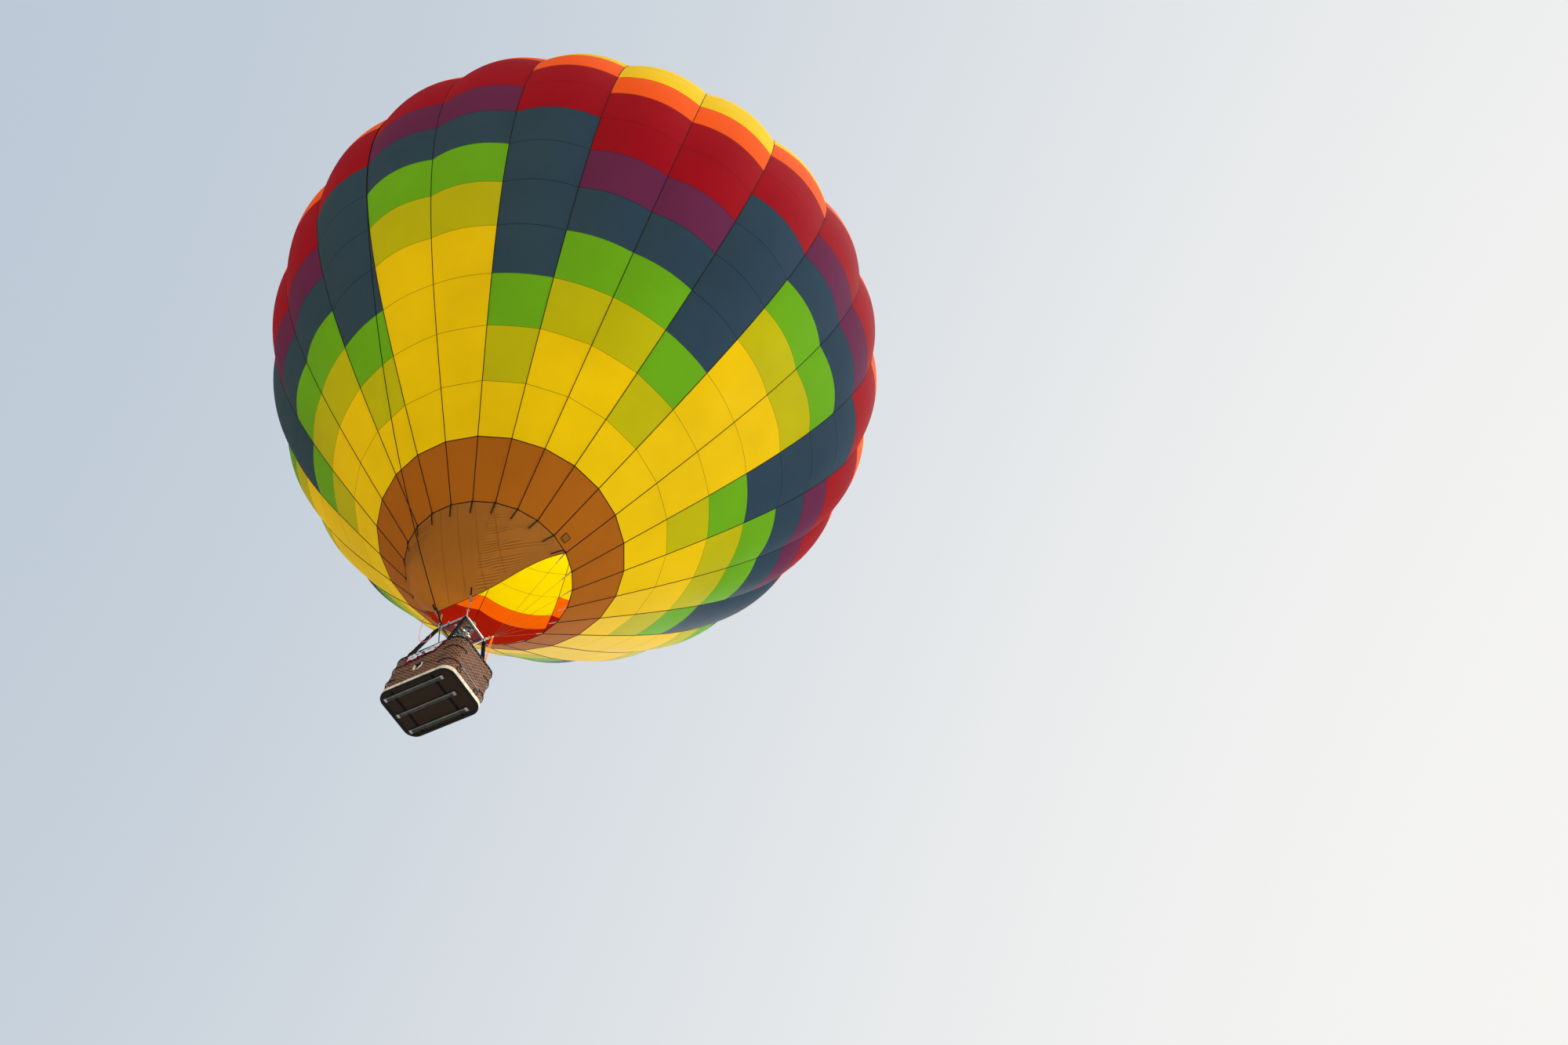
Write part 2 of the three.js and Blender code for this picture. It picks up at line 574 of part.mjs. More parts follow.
FRAME_CORNERS.forEach(([sx, sy], corner) => {
  const bowTop = linkLift + LINK.long / 2 - LINK.rod; // the inside of the carabiner's upper bow
  const ringLift = bowTop - WIRE_RING.rod - bowRise(WIRE_RING.rod / 2) + WIRE_RING.half;
  const hub = wireHub(sx, sy);
  const reach = hub.distanceTo(frameCorner(sx, sy));
  const stemFrom = ringLift + WIRE_RING.half - 3;
  const stem = block(26, 7, reach - stemFrom, 0, 0, (reach - stemFrom) / 2);
  const pieces = [
    placedAtCorner(squareRing(WIRE_RING.half, WIRE_RING.rod), sx, sy, ringLift, Math.PI / 2),
    placedAtCorner(stem, sx, sy, stemFrom, 0),
    new THREE.SphereGeometry(15, 8, 6).translate(...hub.toArray()),
  ];
  for (let n = 0; n < GORES / 4; n++) {
    const tapeNumber = corner * (GORES / 4) + n;
    const end = onRing(0, tapeNumber, tabDepth);
    const along = hub.clone().sub(end).normalize();
    const tabEnd = end.clone().addScaledVector(along, WIRE.tabLength);
    pieces.push(bar(tabEnd.clone().addScaledVector(along, -20), hub, WIRE.radius, 5));
    const side = at(-Math.sin((tapeNumber + 0.5) * GORE_ANGLE), Math.cos((tapeNumber + 0.5) * GORE_ANGLE), 0);
    const across = new THREE.Vector3().crossVectors(along, side).normalize();
    const rowAt = (point, depth) =>
      [-0.5, 0.5].map((k) =>
        point.clone().addScaledVector(side, k * WIRE.tabWidth).addScaledVector(across, depth * WIRE.tabDepth),
      );
    const tabStations = [onRing(WIRE.tabLap, tapeNumber, tabDepth), end, tabEnd];
    const tabSide = (depth) => tabStations.map((point) => rowAt(point, depth));
    pieces.push(shell(tabSide(-0.5), tabSide(0.5), false));
  }
  addNode("flying_wires_" + (corner + 1), join(pieces), "steel");
});

// The gimbal ring tilts about X in the frame, and the burner tilts about Y in the ring
{
  const corners = FRAME_CORNERS.map(([sx, sy]) => at(sx * RING.halfX, sy * RING.halfY, FRAME.height));
  const sides = corners.map((from, i) => {
    const to = corners[(i + 1) % 4];
    const middle = from.clone().add(to).multiplyScalar(0.5);
    const size = from.clone().sub(to);
    return block(
      Math.abs(size.x) + RING.bar,
      Math.abs(size.y) + RING.bar,
      RING.bar * 1.4,
      middle.x,
      middle.y,
      FRAME.height,
    );
  });
  const pins = [-1, 1].map((side) => {
    const tip = BEARING.inside + BEARING.depth - 1;
    return bar(at(side * RING.halfX, 0, FRAME.height), at(side * tip, 0, FRAME.height), TILT_PIN.radius, 16);
  });
  const bore = (TILT_PIN.radius + TILT_PIN.clearance) / Math.cos(Math.PI / 16);
  const holes = [-1, 1].map((side) =>
    bar(at(0, side * (RING.halfY - 40), FRAME.height), at(0, side * (RING.halfY + 40), FRAME.height), bore, 16),
  );
  addNode("gimbal_ring", cut(join([...sides, ...pins]), holes), "steel");
}

// The burner: a base with valve blocks, two open cans and the vaporising coil in each
const BASE = { low: -40, high: 24, halfX: 226, halfY: 70 };
{
  const height = FRAME.height;
  const pieces = [
    block(2 * BASE.halfX, 34, 26, 0, 0, height - 8),
    block(40, 2 * (RING.halfY - 22), 26, 0, 0, height - 8),
  ];
  [-1, 1].forEach((side) => {
    pieces.push(bar(at(0, side * 200, height), at(0, side * (RING.halfY + 6), height), TILT_PIN.radius, 16));
    const x = side * CAN.offset;
    pieces.push(bar(at(x, 0, height - 21), at(x, 0, height + 20), 62, 16));
    pieces.push(block(70, 96, 60, x, 0, height - 48));
    pieces.push(bar(at(x, -96, height - 56), at(x, 96, height - 56), 15, 10));
    pieces.push(bar(at(x, 0, height - 110), at(x, 0, height - 60), 20, 10));
  });
  addNode("burner_base", join(pieces), "brass");
}
[-1, 1].forEach((side, i) => {
  const foot = FRAME.height + 20 + SEAT_GAP;
  const { radius, wall, height } = CAN;
  const canProfile = [
    [40, 0],
    [radius, 0],
    [radius, height],
    [radius - wall, height],
    [radius - wall, wall],
    [40, wall],
    [40, 0],
  ].map(([x, y]) => new THREE.Vector2(x, y));
  const can = addNode("burner_can_" + (i + 1), new THREE.LatheGeometry(canProfile, 20), "steel");
  can.rotation.x = Math.PI / 2;
  can.position.set(side * CAN.offset, 0, foot);
  const coilProfile = [
    [radius - wall - 22, wall + SEAT_GAP],
    [radius - wall - 4, wall + SEAT_GAP],
    [radius - wall - 4, height - 30],
    [radius - wall - 22, height - 30],
    [radius - wall - 22, wall + SEAT_GAP],
  ].map(([x, y]) => new THREE.Vector2(x, y));
  const coil = addNode("burner_coil_" + (i + 1), new THREE.LatheGeometry(coilProfile, 20), "steel");
  coil.rotation.x = Math.PI / 2;
  coil.position.set(side * CAN.offset, 0, foot);
});

export default balloon;
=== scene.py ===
import math
from itertools import product

import bmesh
import bpy
import numpy as np
from mathutils import Matrix, Vector


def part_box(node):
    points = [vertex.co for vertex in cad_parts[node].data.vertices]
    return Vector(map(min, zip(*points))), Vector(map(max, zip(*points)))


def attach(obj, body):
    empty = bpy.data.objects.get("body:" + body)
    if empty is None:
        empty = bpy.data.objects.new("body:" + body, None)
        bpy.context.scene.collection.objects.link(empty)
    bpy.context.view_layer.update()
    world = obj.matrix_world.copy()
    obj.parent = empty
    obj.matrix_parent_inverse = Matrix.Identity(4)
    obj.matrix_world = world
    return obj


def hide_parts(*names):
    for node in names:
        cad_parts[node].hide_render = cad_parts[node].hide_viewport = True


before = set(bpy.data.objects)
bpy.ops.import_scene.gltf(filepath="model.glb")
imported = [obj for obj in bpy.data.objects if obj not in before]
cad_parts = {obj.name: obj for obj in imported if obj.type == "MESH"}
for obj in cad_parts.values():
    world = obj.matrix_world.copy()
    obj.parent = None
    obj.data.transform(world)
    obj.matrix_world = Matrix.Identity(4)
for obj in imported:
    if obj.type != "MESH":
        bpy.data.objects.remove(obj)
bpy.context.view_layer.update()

# Driving dimensions, in metres
ORIGIN_HEIGHT = 15.0  # of the row frame above the underside of the floor board
GORES = 24
FULL_TURN = 2 * math.pi
GORE_ANGLE = FULL_TURN / GORES
MOUTH_RADIUS, MOUTH_HEIGHT, MOUTH_SLOPE = 1.69, 4.15, math.radians(40)
LIFT_CURVATURE = 1.32e-3
SHOULDER = (10.0, 20.0, 0.38)  # from where to where the tape bends more, and by what share
BAND_TOP, CROWN_RADIUS, BULGE = 1.41, 2.6, 0.105
BASKET_X, BASKET_Y, BASKET_CORNER = 0.75, 0.5325, 0.215
RIM_HEIGHT = 0.94
WALL_MIDDLE = 0.023  # how far inside the basket's outline the middle of its wall lies
UPRIGHT_FOOT_X, UPRIGHT_FOOT_RISE = 0.42, 0.0293  # the rise is over the middle of the rim
FRAME_X, FRAME_Y, FRAME_Z = 0.305, 0.29, 2.085
PANEL_SEAMS = [1.41, 2.66, 3.97, 5.26, 6.54, 7.81, 9.06, 10.3, 11.53, 12.62]
PANEL_PITCH = 1.2
# The panels' colours from the band upwards: each kind of gore, then yellow to the crown
ROWS = {
    "A": "yellow yellow lime green navy purple red red orange",
    "B": "yellow yellow yellow yellow lime green navy purple red red orange",
    "N": "yellow lime green navy navy navy navy red red orange",
}
GORE_KINDS = "BBNAAN"
# The weave: stakes round the basket, how many rods pass a stake on the same side, and the pitches of both
STAKES, BLOCK_ROWS, ROD, STAKE_PITCH = 112, 3, 0.0125, 0.042
WALING = (0.125, 0.44, 0.81)  # heights of the heavier twisted rows
CORNERS = [(1, 1), (-1, 1), (-1, -1), (1, -1)]
X_AXIS, Y_AXIS, Z_AXIS = np.eye(3)


def low(z):
    """A height above the underside of the floor board, in the row frame."""
    return z - ORIGIN_HEIGHT


def smooth(a, b, x):
    """Rises smoothly from 0 at a to 1 at b."""
    t = np.clip((np.asarray(x, float) - a) / (b - a), 0, 1)
    return t * t * (3 - 2 * t)


def soft_noise(x, y, seed):
    """Smooth noise from 0 to 1 on a lattice of size 1."""
    table = np.random.default_rng(seed).random((64, 64))
    i, j = np.floor(x).astype(int), np.floor(y).astype(int)
    u, v = smooth(0, 1, x - i), smooth(0, 1, y - j)
    a, b = table[i % 64, j % 64], table[(i + 1) % 64, j % 64]
    c, d = table[i % 64, (j + 1) % 64], table[(i + 1) % 64, (j + 1) % 64]
    return (a * (1 - u) + b * u) * (1 - v) + (c * (1 - u) + d * u) * v


def link(thing):
    bpy.context.scene.collection.objects.link(thing)


# Camera: its climb, roll and turn, its place and the balloon's turn, as solved from the photograph
CLIMB, ROLL, TURN = 1.0670915, 0.0446089, math.radians(0.93)
CAMERA_PLACE = (10.9875, -8.349, -30.725)
ROW_COS, ROW_SIN = 0.8871, 0.4615
SENSOR_WIDTH, LENS, VIEW_END = 36, 26.695, 400
turned = Matrix.Rotation(TURN, 3, "Z")
to_row = turned @ Matrix(((ROW_COS, -ROW_SIN, 0), (ROW_SIN, ROW_COS, 0), (0, 0, 1)))
forward = Vector((0, math.cos(CLIMB), math.sin(CLIMB)))
above = Vector((0, -math.sin(CLIMB), math.cos(CLIMB)))
right = math.cos(ROLL) * Vector(X_AXIS) + math.sin(ROLL) * above
up = -math.sin(ROLL) * Vector(X_AXIS) + math.cos(ROLL) * above
axes = [to_row @ v for v in (right, up, -forward)]
camera_data = bpy.data.cameras.new("camera")
camera_data.sensor_width = SENSOR_WIDTH
camera_data.lens = LENS
camera_data.clip_end = VIEW_END
camera = bpy.data.objects.new("camera", camera_data)
link(camera)
view = Matrix([[axes[c][r] for c in range(3)] for r in range(3)]).to_4x4()
camera.matrix_world = Matrix.Translation(turned @ Vector(CAMERA_PLACE)) @ view
bpy.context.scene.camera = camera


def lamp(name, energy, towards, spread, colour=(1, 1, 1)):
    """A soft sun that shines towards that direction. spread is in degrees."""
    data = bpy.data.lights.new(name, "SUN")
    data.energy = energy
    data.color = colour
    data.angle = math.radians(spread)
    o = bpy.data.objects.new(name, data)
    o.rotation_mode = "QUATERNION"
    o.rotation_quaternion = Vector(towards).to_track_quat("-Z", "Y")
    link(o)


bpy.context.scene.view_settings.view_transform = "Standard"
from_right = Vector((axes[0].x, axes[0].y, 0.12)).normalized()
behind = to_row @ Vector(Y_AXIS)
lamp("side_light", 2.7, -from_right, 16, (1.0, 0.98, 0.94))
lamp("front_light", 1.1, (-0.35, 0.93, -0.16), 8, (1.0, 0.98, 0.95))
lamp("top_light", 2.3, (-0.35, -0.2, -1), 60)
lamp("back_light", 2.6, (-behind.x, -behind.y, -0.45), 40)  # shines through the cloth and lights the inside


# Materials
class Graph:
    """Short calls for building the nodes of one material, or of the world."""

    def __init__(self, name, owners=bpy.data.materials):
        self.owner = owners.new(name)
        self.owner.use_nodes = True
        self.tree = self.owner.node_tree
        self.tree.nodes.clear()
        self.coords = self.add("TexCoord").outputs

    def add(self, kind, inputs=None, **settings):
        node = self.tree.nodes.new("ShaderNode" + kind)
        for key, value in settings.items():
            setattr(node, key, value)
        for key, value in (inputs or {}).items():
            self.set(node.inputs[key], value)
        return node

    def set(self, socket, value):
        if isinstance(value, bpy.types.NodeSocket):
            self.tree.links.new(value, socket)
        elif isinstance(value, tuple) and len(value) == 3 and socket.type == "RGBA":
            socket.default_value = (*value, 1)
        else:
            socket.default_value = value

    def noise(self, scale, detail=2.0, source="Object", stretch=(1, 1, 1), rough=0.5):
        at = self.add("Mapping", {"Vector": self.coords[source], "Scale": stretch}).outputs[0]
        inputs = {"Vector": at, "Scale": scale, "Detail": detail, "Roughness": rough}
        return self.add("TexNoise", inputs).outputs["Fac"]

    def wave(self, scale, source="UV", direction="X"):
        inputs = {"Vector": self.coords[source], "Scale": scale}
        return self.add("TexWave", inputs, bands_direction=direction).outputs["Fac"]

    def ramp(self, value, low_in, high_in, low_out=0.0, high_out=1.0):
        inputs = {"Value": value, "From Min": low_in, "From Max": high_in}
        return self.add("MapRange", {**inputs, "To Min": low_out, "To Max": high_out}).outputs[0]

    def math(self, operation, a, b=0.0):
        return self.add("Math", {0: a, 1: b}, operation=operation).outputs[0]

    def plus(self, a, b):
        return self.math("ADD", a, b)

    def times(self, a, b):
        return self.math("MULTIPLY", a, b)

    def mix(self, factor, a, b):
        return self.add("Mix", {0: factor, 6: a, 7: b}, data_type="RGBA").outputs[2]

    def bump(self, height, strength, distance):
        return self.add("Bump", {"Strength": strength, "Distance": distance, "Height": height}).outputs[0]

    def principled(self, colour, rough, metal=0.0, normal=None, ior=1.5):
        inputs = {"Base Color": colour, "Roughness": rough, "Metallic": metal, "IOR": ior}
        if normal is not None:
            inputs["Normal"] = normal
        return self.add("BsdfPrincipled", inputs).outputs[0]

    def finish(self, shader, out="OutputMaterial"):
        self.add(out, {0: shader})
        return self.owner


def studio_sky(name, dim, bright, bright_from, reach):
    """Bright on the camera's right, and dimmer and cooler on its left."""
    g = Graph(name, bpy.data.worlds)
    inputs = {0: g.coords["Generated"], 1: bright_from}
    towards = g.add("VectorMath", inputs, operation="DOT_PRODUCT").outputs["Value"]
    inputs = {"Value": towards, "From Min": -reach, "From Max": reach}
    fall = g.add("MapRange", inputs, interpolation_type="SMOOTHSTEP").outputs[0]
    return g.finish(g.add("Background", {0: g.mix(fall, dim, bright)}).outputs[0], "OutputWorld")


def shade(colour, factor):
    return tuple(min(1.0, c * factor) for c in colour)


FADE = 0.08  # of worn cloth
RIPSTOP = 28  # threads of the cloth's grid in a metre


def cloth(name, colour, through, share=0.5, rough=0.6, pucker=1.0, painted_fold_light=0.0):
    """Thin coated nylon: colour in reflection, through in the light that passes. Its last argument paints
    shade into its gathers and highlights on their ridges, read from a mesh attribute.
    """
    g = Graph(name)
    worn = g.ramp(g.noise(0.55, 3), 0.3, 0.7)
    face = g.mix(worn, shade(colour, 1 - FADE), shade(colour, 1 + FADE * 0.5))
    lit = g.mix(worn, shade(through, 1 - FADE), shade(through, 1 + FADE * 0.5))
    if painted_fold_light:
        painted_light_of_folds = g.add("Attribute", attribute_name="painted_light_of_folds").outputs["Fac"]
        # Painted shade on the shaded sides of the gathers, in reflection and in the light that passes
        shaded = g.ramp(painted_light_of_folds, 0, 0.5, painted_fold_light, 0)
        face = g.mix(shaded, face, shade(colour, 0.35))
        # Painted highlight on the ridges of the gathers
        face = g.mix(g.ramp(painted_light_of_folds, 0.5, 1, 0, painted_fold_light), face, shade(colour, 1.5))
        lit = g.mix(shaded, lit, shade(through, 0.4))
    grid = g.math("MAXIMUM", g.wave(RIPSTOP, direction="X"), g.wave(RIPSTOP, direction="Y"))
    gathers = g.times(g.noise(5, 4, stretch=(1, 1, 0.35)), pucker)
    normal = g.bump(g.plus(gathers, g.times(grid, 0.05)), 0.35, 0.02)
    roughness = g.ramp(g.noise(60, 2), 0.2, 0.8, rough - 0.08, rough + 0.1)
    surface = g.principled(face, roughness, normal=normal, ior=1.12)
    passed = g.add("BsdfTranslucent", {"Color": lit, "Normal": normal}).outputs[0]
    return g.finish(g.add("MixShader", {"Fac": share, 1: surface, 2: passed}).outputs[0])


def webbing(name, colour, scale=260, rough=0.75):
    g = Graph(name)
    worn = g.noise(9, 3)
    base = g.mix(g.ramp(worn, 0.35, 0.75), colour, shade(colour, 1.6))
    roughness = g.ramp(worn, 0, 1, rough - 0.1, rough + 0.1)
    normal = g.bump(g.plus(g.wave(scale, "Object", "DIAGONAL"), g.noise(400, 2)), 0.5, 0.001)
    return g.finish(g.principled(base, roughness, normal=normal, ior=1.15))


def metal(name, colour, rough=0.3, streak=(1, 1, 12), worn=0.25, metallic=1.0):
    g = Graph(name)
    grain = g.noise(90, 4, stretch=streak)
    stain = g.noise(11, 4)
    base = g.mix(g.ramp(stain, 0.35, 0.8), colour, shade(colour, 1 - worn))
    roughness = g.plus(g.ramp(grain, 0.2, 0.8, rough - 0.08, rough + 0.12), g.ramp(stain, 0.4, 0.8, 0, 0.12))
    return g.finish(g.principled(base, roughness, metallic, g.bump(grain, 0.12, 0.0006)))


def leather(name, colour):
    g = Graph(name)
    grain = g.add("TexVoronoi", {"Scale": 180, "Vector": g.coords["Object"]}).outputs["Distance"]
    crease = g.noise(26, 4)
    base = g.mix(g.ramp(crease, 0.35, 0.75), colour, shade(colour, 2.0))
    normal = g.bump(g.plus(g.times(grain, 0.6), crease), 0.45, 0.002)
    return g.finish(g.principled(base, g.ramp(crease, 0.2, 0.8, 0.38, 0.65), normal=normal, ior=1.22))


def rawhide(name, colour, stained, scuffed):
    g = Graph(name)
    stain = g.noise(14, 5)
    scuff = g.noise(70, 3, stretch=(1, 1, 4))
    base = g.mix(g.ramp(stain, 0.4, 0.75), colour, stained)
    base = g.mix(g.ramp(scuff, 0.62, 0.78), base, scuffed)
    normal = g.bump(g.plus(stain, scuff), 0.4, 0.002)
    return g.finish(g.principled(base, g.ramp(stain, 0, 1, 0.45, 0.75), normal=normal))


def willow(name, light, dark):
    """Woven rods: u runs round the basket and v up it, in metres. Painted light and shade: they are painted
    lighter where they bow out and darker where they dip behind a stake.
    """
    g = Graph(name)
    u, v = g.add("SeparateXYZ", {"Vector": g.coords["UV"]}).outputs[:2]
    row = g.math("FLOOR", g.math("DIVIDE", v, ROD))
    cell = g.math("FLOOR", g.math("DIVIDE", u, STAKE_PITCH))
    rod = g.add("CombineXYZ", {"X": row, "Y": cell}).outputs[0]
    pick = g.add("TexWhiteNoise", {"Vector": rod}, noise_dimensions="2D").outputs["Value"]
    side = g.math("SIGN", g.math("SINE", g.times(v, math.pi / (ROD * BLOCK_ROWS))))
    bow = g.times(g.math("COSINE", g.times(u, math.pi / STAKE_PITCH)), side)
    grain = g.noise(1, 5, "UV", (40, 900, 1))
    # The tone is random for each rod and its grain, plus painted light and shade from the bow
    tone = g.plus(g.plus(g.times(pick, 0.45), g.times(grain, 0.55)), g.times(bow, 0.3))
    base = g.mix(g.ramp(tone, 0.05, 0.95), dark, light)
    # Painted shade where the rods dip deepest behind a stake
    base = g.mix(g.ramp(bow, -0.8, -0.98), base, shade(dark, 0.25))
    base = g.mix(g.ramp(g.noise(3.5, 3), 0.45, 0.75, 0, 0.35), base, shade(dark, 0.8))
    # Painted shade in the gaps of the twisted rows, once a stake
    painted_gap_shade = g.ramp(g.math("COSINE", g.times(u, FULL_TURN / STAKE_PITCH)), -0.3, 0.3)
    for height in WALING[1:]:
        near = g.ramp(g.math("ABSOLUTE", g.math("SUBTRACT", v, height)), 0.01, 0.016, 0.92, 0)
        base = g.mix(g.times(near, painted_gap_shade), base, shade(dark, 0.15))
    roughness = g.ramp(grain, 0.2, 0.8, 0.4, 0.65)
    return g.finish(g.principled(base, roughness, normal=g.bump(grain, 0.4, 0.0012), ior=1.3))


def plywood(name, colour, scuffed):
    g = Graph(name)
    grain = g.noise(14, 6, stretch=(1, 9, 9), rough=0.65)
    scuff = g.noise(5, 5)
    base = g.mix(g.ramp(grain, 0.3, 0.7), shade(colour, 0.6), shade(colour, 1.5))
    base = g.mix(g.ramp(scuff, 0.55, 0.8, 0, 0.4), base, scuffed)
    roughness = g.ramp(scuff, 0.2, 0.8, 0.5, 0.8)
    return g.finish(g.principled(base, roughness, normal=g.bump(grain, 0.3, 0.002), ior=1.2))


def pale_floor(name, darker, lighter):
    g = Graph(name)
    return g.finish(g.principled(g.mix(g.noise(0.4, 3), darker, lighter), 0.85))


CLOTH = {  # in reflection, and in the light that passes
    "yellow": ((0.8, 0.57, 0.002), (0.97, 0.74, 0.0)),
    "lime": ((0.48, 0.5, 0.004), (0.58, 0.54, 0.0)),
    "green": ((0.11, 0.42, 0.012), (0.2, 0.48, 0.0)),
    "navy": ((0.005, 0.04, 0.115), (0.07, 0.13, 0.09)),
    "purple": ((0.105, 0.02, 0.088), (0.17, 0.025, 0.06)),
    "red": ((0.26, 0.003, 0.012), (0.42, 0.004, 0.003)),
    "orange": ((0.86, 0.1, 0.01), (0.95, 0.14, 0.0)),
}
CLOTH_MATERIALS = {k: cloth("nylon_" + k, *v) for k, v in CLOTH.items()}
SEAM_MATERIALS = {k: cloth("seam_" + k, shade(a, 0.45), shade(b, 0.25), 0.35) for k, (a, b) in CLOTH.items()}
BAND = cloth("heat_resistant_cloth", (0.34, 0.115, 0.008), (0.46, 0.12, 0.0), 0.4, 0.75)
# The scoop's cloth gets painted shade and painted highlights along its gathers
SCOOP_CLOTH = cloth("scoop_cloth", (0.27, 0.105, 0.016), (0.36, 0.11, 0.004), 0.35, 0.75, 1.5, painted_fold_light=0.75)
SCOOP_SEAM = cloth("scoop_seam", (0.215, 0.082, 0.012), (0.27, 0.08, 0.002), 0.2, 0.75)
BANNER = cloth("banner_cloth", (0.6, 0.58, 0.56), (0.5, 0.5, 0.5), 0.1, 0.7, 2)
MAROON = cloth("maroon_cloth", (0.14, 0.006, 0.035), (0.2, 0.01, 0.05), 0.1, 0.7)
TEAL = cloth("teal_cloth", (0.012, 0.07, 0.1), (0.04, 0.12, 0.2), 0.1, 0.7)
BLACK_TAPE = webbing("black_webbing", (0.004, 0.004, 0.004))
JACKET = webbing("black_jacket_cloth", (0.0045, 0.0045, 0.005), 520, 0.65)
TAN = webbing("tan_aramid", (0.24, 0.165, 0.075), 400)
WIRE = webbing("wire_grey", (0.075, 0.056, 0.026), 400)
RED_CORD = webbing("red_cord", (0.55, 0.16, 0.15), 300)
ORANGE_LINE = webbing("orange_webbing", (0.85, 0.12, 0.01), 300)
YELLOW_LINE = webbing("yellow_webbing", (0.7, 0.5, 0.02), 300)
STEEL = metal("polished_steel", (0.5, 0.51, 0.52), 0.26, worn=0.2)
DARK_PAINT = metal("black_painted_steel", (0.006, 0.006, 0.0065), 0.45, worn=0.3, metallic=0.0)
DULL = metal("dull_steel", (0.38, 0.38, 0.37), 0.4, worn=0.35)
SKID = metal("worn_runner", (0.085, 0.092, 0.072), 0.55, (12, 1, 1), 0.5, 0.35)
HEATED = metal("heat_stained_steel", (0.2, 0.18, 0.165), 0.42, worn=0.5)
CHROME = metal("chrome", (0.8, 0.79, 0.77), 0.1, worn=0.08)
BRASS = metal("brass", (0.62, 0.44, 0.18), 0.3)
CABLE = metal("blue_grey_cable", (0.22, 0.27, 0.33), 0.35, (40, 40, 40))
BLACK_HIDE = leather("black_padded_hide", (0.0045, 0.004, 0.0038))
RAWHIDE = rawhide("pale_rawhide", (0.62, 0.52, 0.37), (0.36, 0.27, 0.17), (0.22, 0.16, 0.1))
WICKER = willow("varnished_willow", (0.25, 0.105, 0.044), (0.026, 0.01, 0.0045))
PLY = plywood("dark_plywood", (0.022, 0.012, 0.0055), (0.05, 0.035, 0.022))
sky_from = (axes[0] * 0.92 - axes[1] * 0.38).normalized()
bpy.context.scene.world = studio_sky("studio", (0.5, 0.58, 0.67), (0.93, 0.92, 0.9), sky_from, 0.75)


# Building pieces
def unit(v):
    v = np.asarray(v, float)
    return v / max(np.linalg.norm(v), 1e-12)


def square(a, b):
    """The unit vector at right angles to both."""
    return unit(np.cross(a, b))


def round_angles(count):
    return np.linspace(0, FULL_TURN, count + 1)[:-1]


def circle(centre, u, v, radius, count):
    """The points of a closed circle in the plane of u and v."""
    return [centre + radius * (math.cos(t) * u + math.sin(t) * v) for t in round_angles(count)]


def between(start, end, count, sag=0.0):
    """Points from start to end, hanging by sag in the middle."""
    t = np.linspace(0, 1, count)[:, None]
    return start * (1 - t) + end * t + np.array([0, 0, -sag]) * (4 * t * (1 - t))


def curve_through(points, count):
    """A smooth line through points (Catmull-Rom), with that many steps from each to the next."""
    p = np.asarray(points, float)
    p = np.concatenate([[2 * p[0] - p[1]], p, [2 * p[-1] - p[-2]]])
    out = []
    for a, b, c, d in zip(p, p[1:], p[2:], p[3:]):
        for t in np.linspace(0, 1, count, endpoint=False):
            bend, twist = 2 * a - 5 * b + 4 * c - d, 3 * b - a - 3 * c + d
            out.append(0.5 * (2 * b + (c - a) * t + bend * t**2 + twist * t**3))
    out.append(p[-2])
    return np.array(out)


# The section of a strap, in half widths and half depths
STRAP_SECTION = ((-1, -0.6), (-0.9, -1), (0.9, -1), (1, -0.6), (1, 0.6), (0.9, 1), (-0.9, 1), (-1, 0.6))


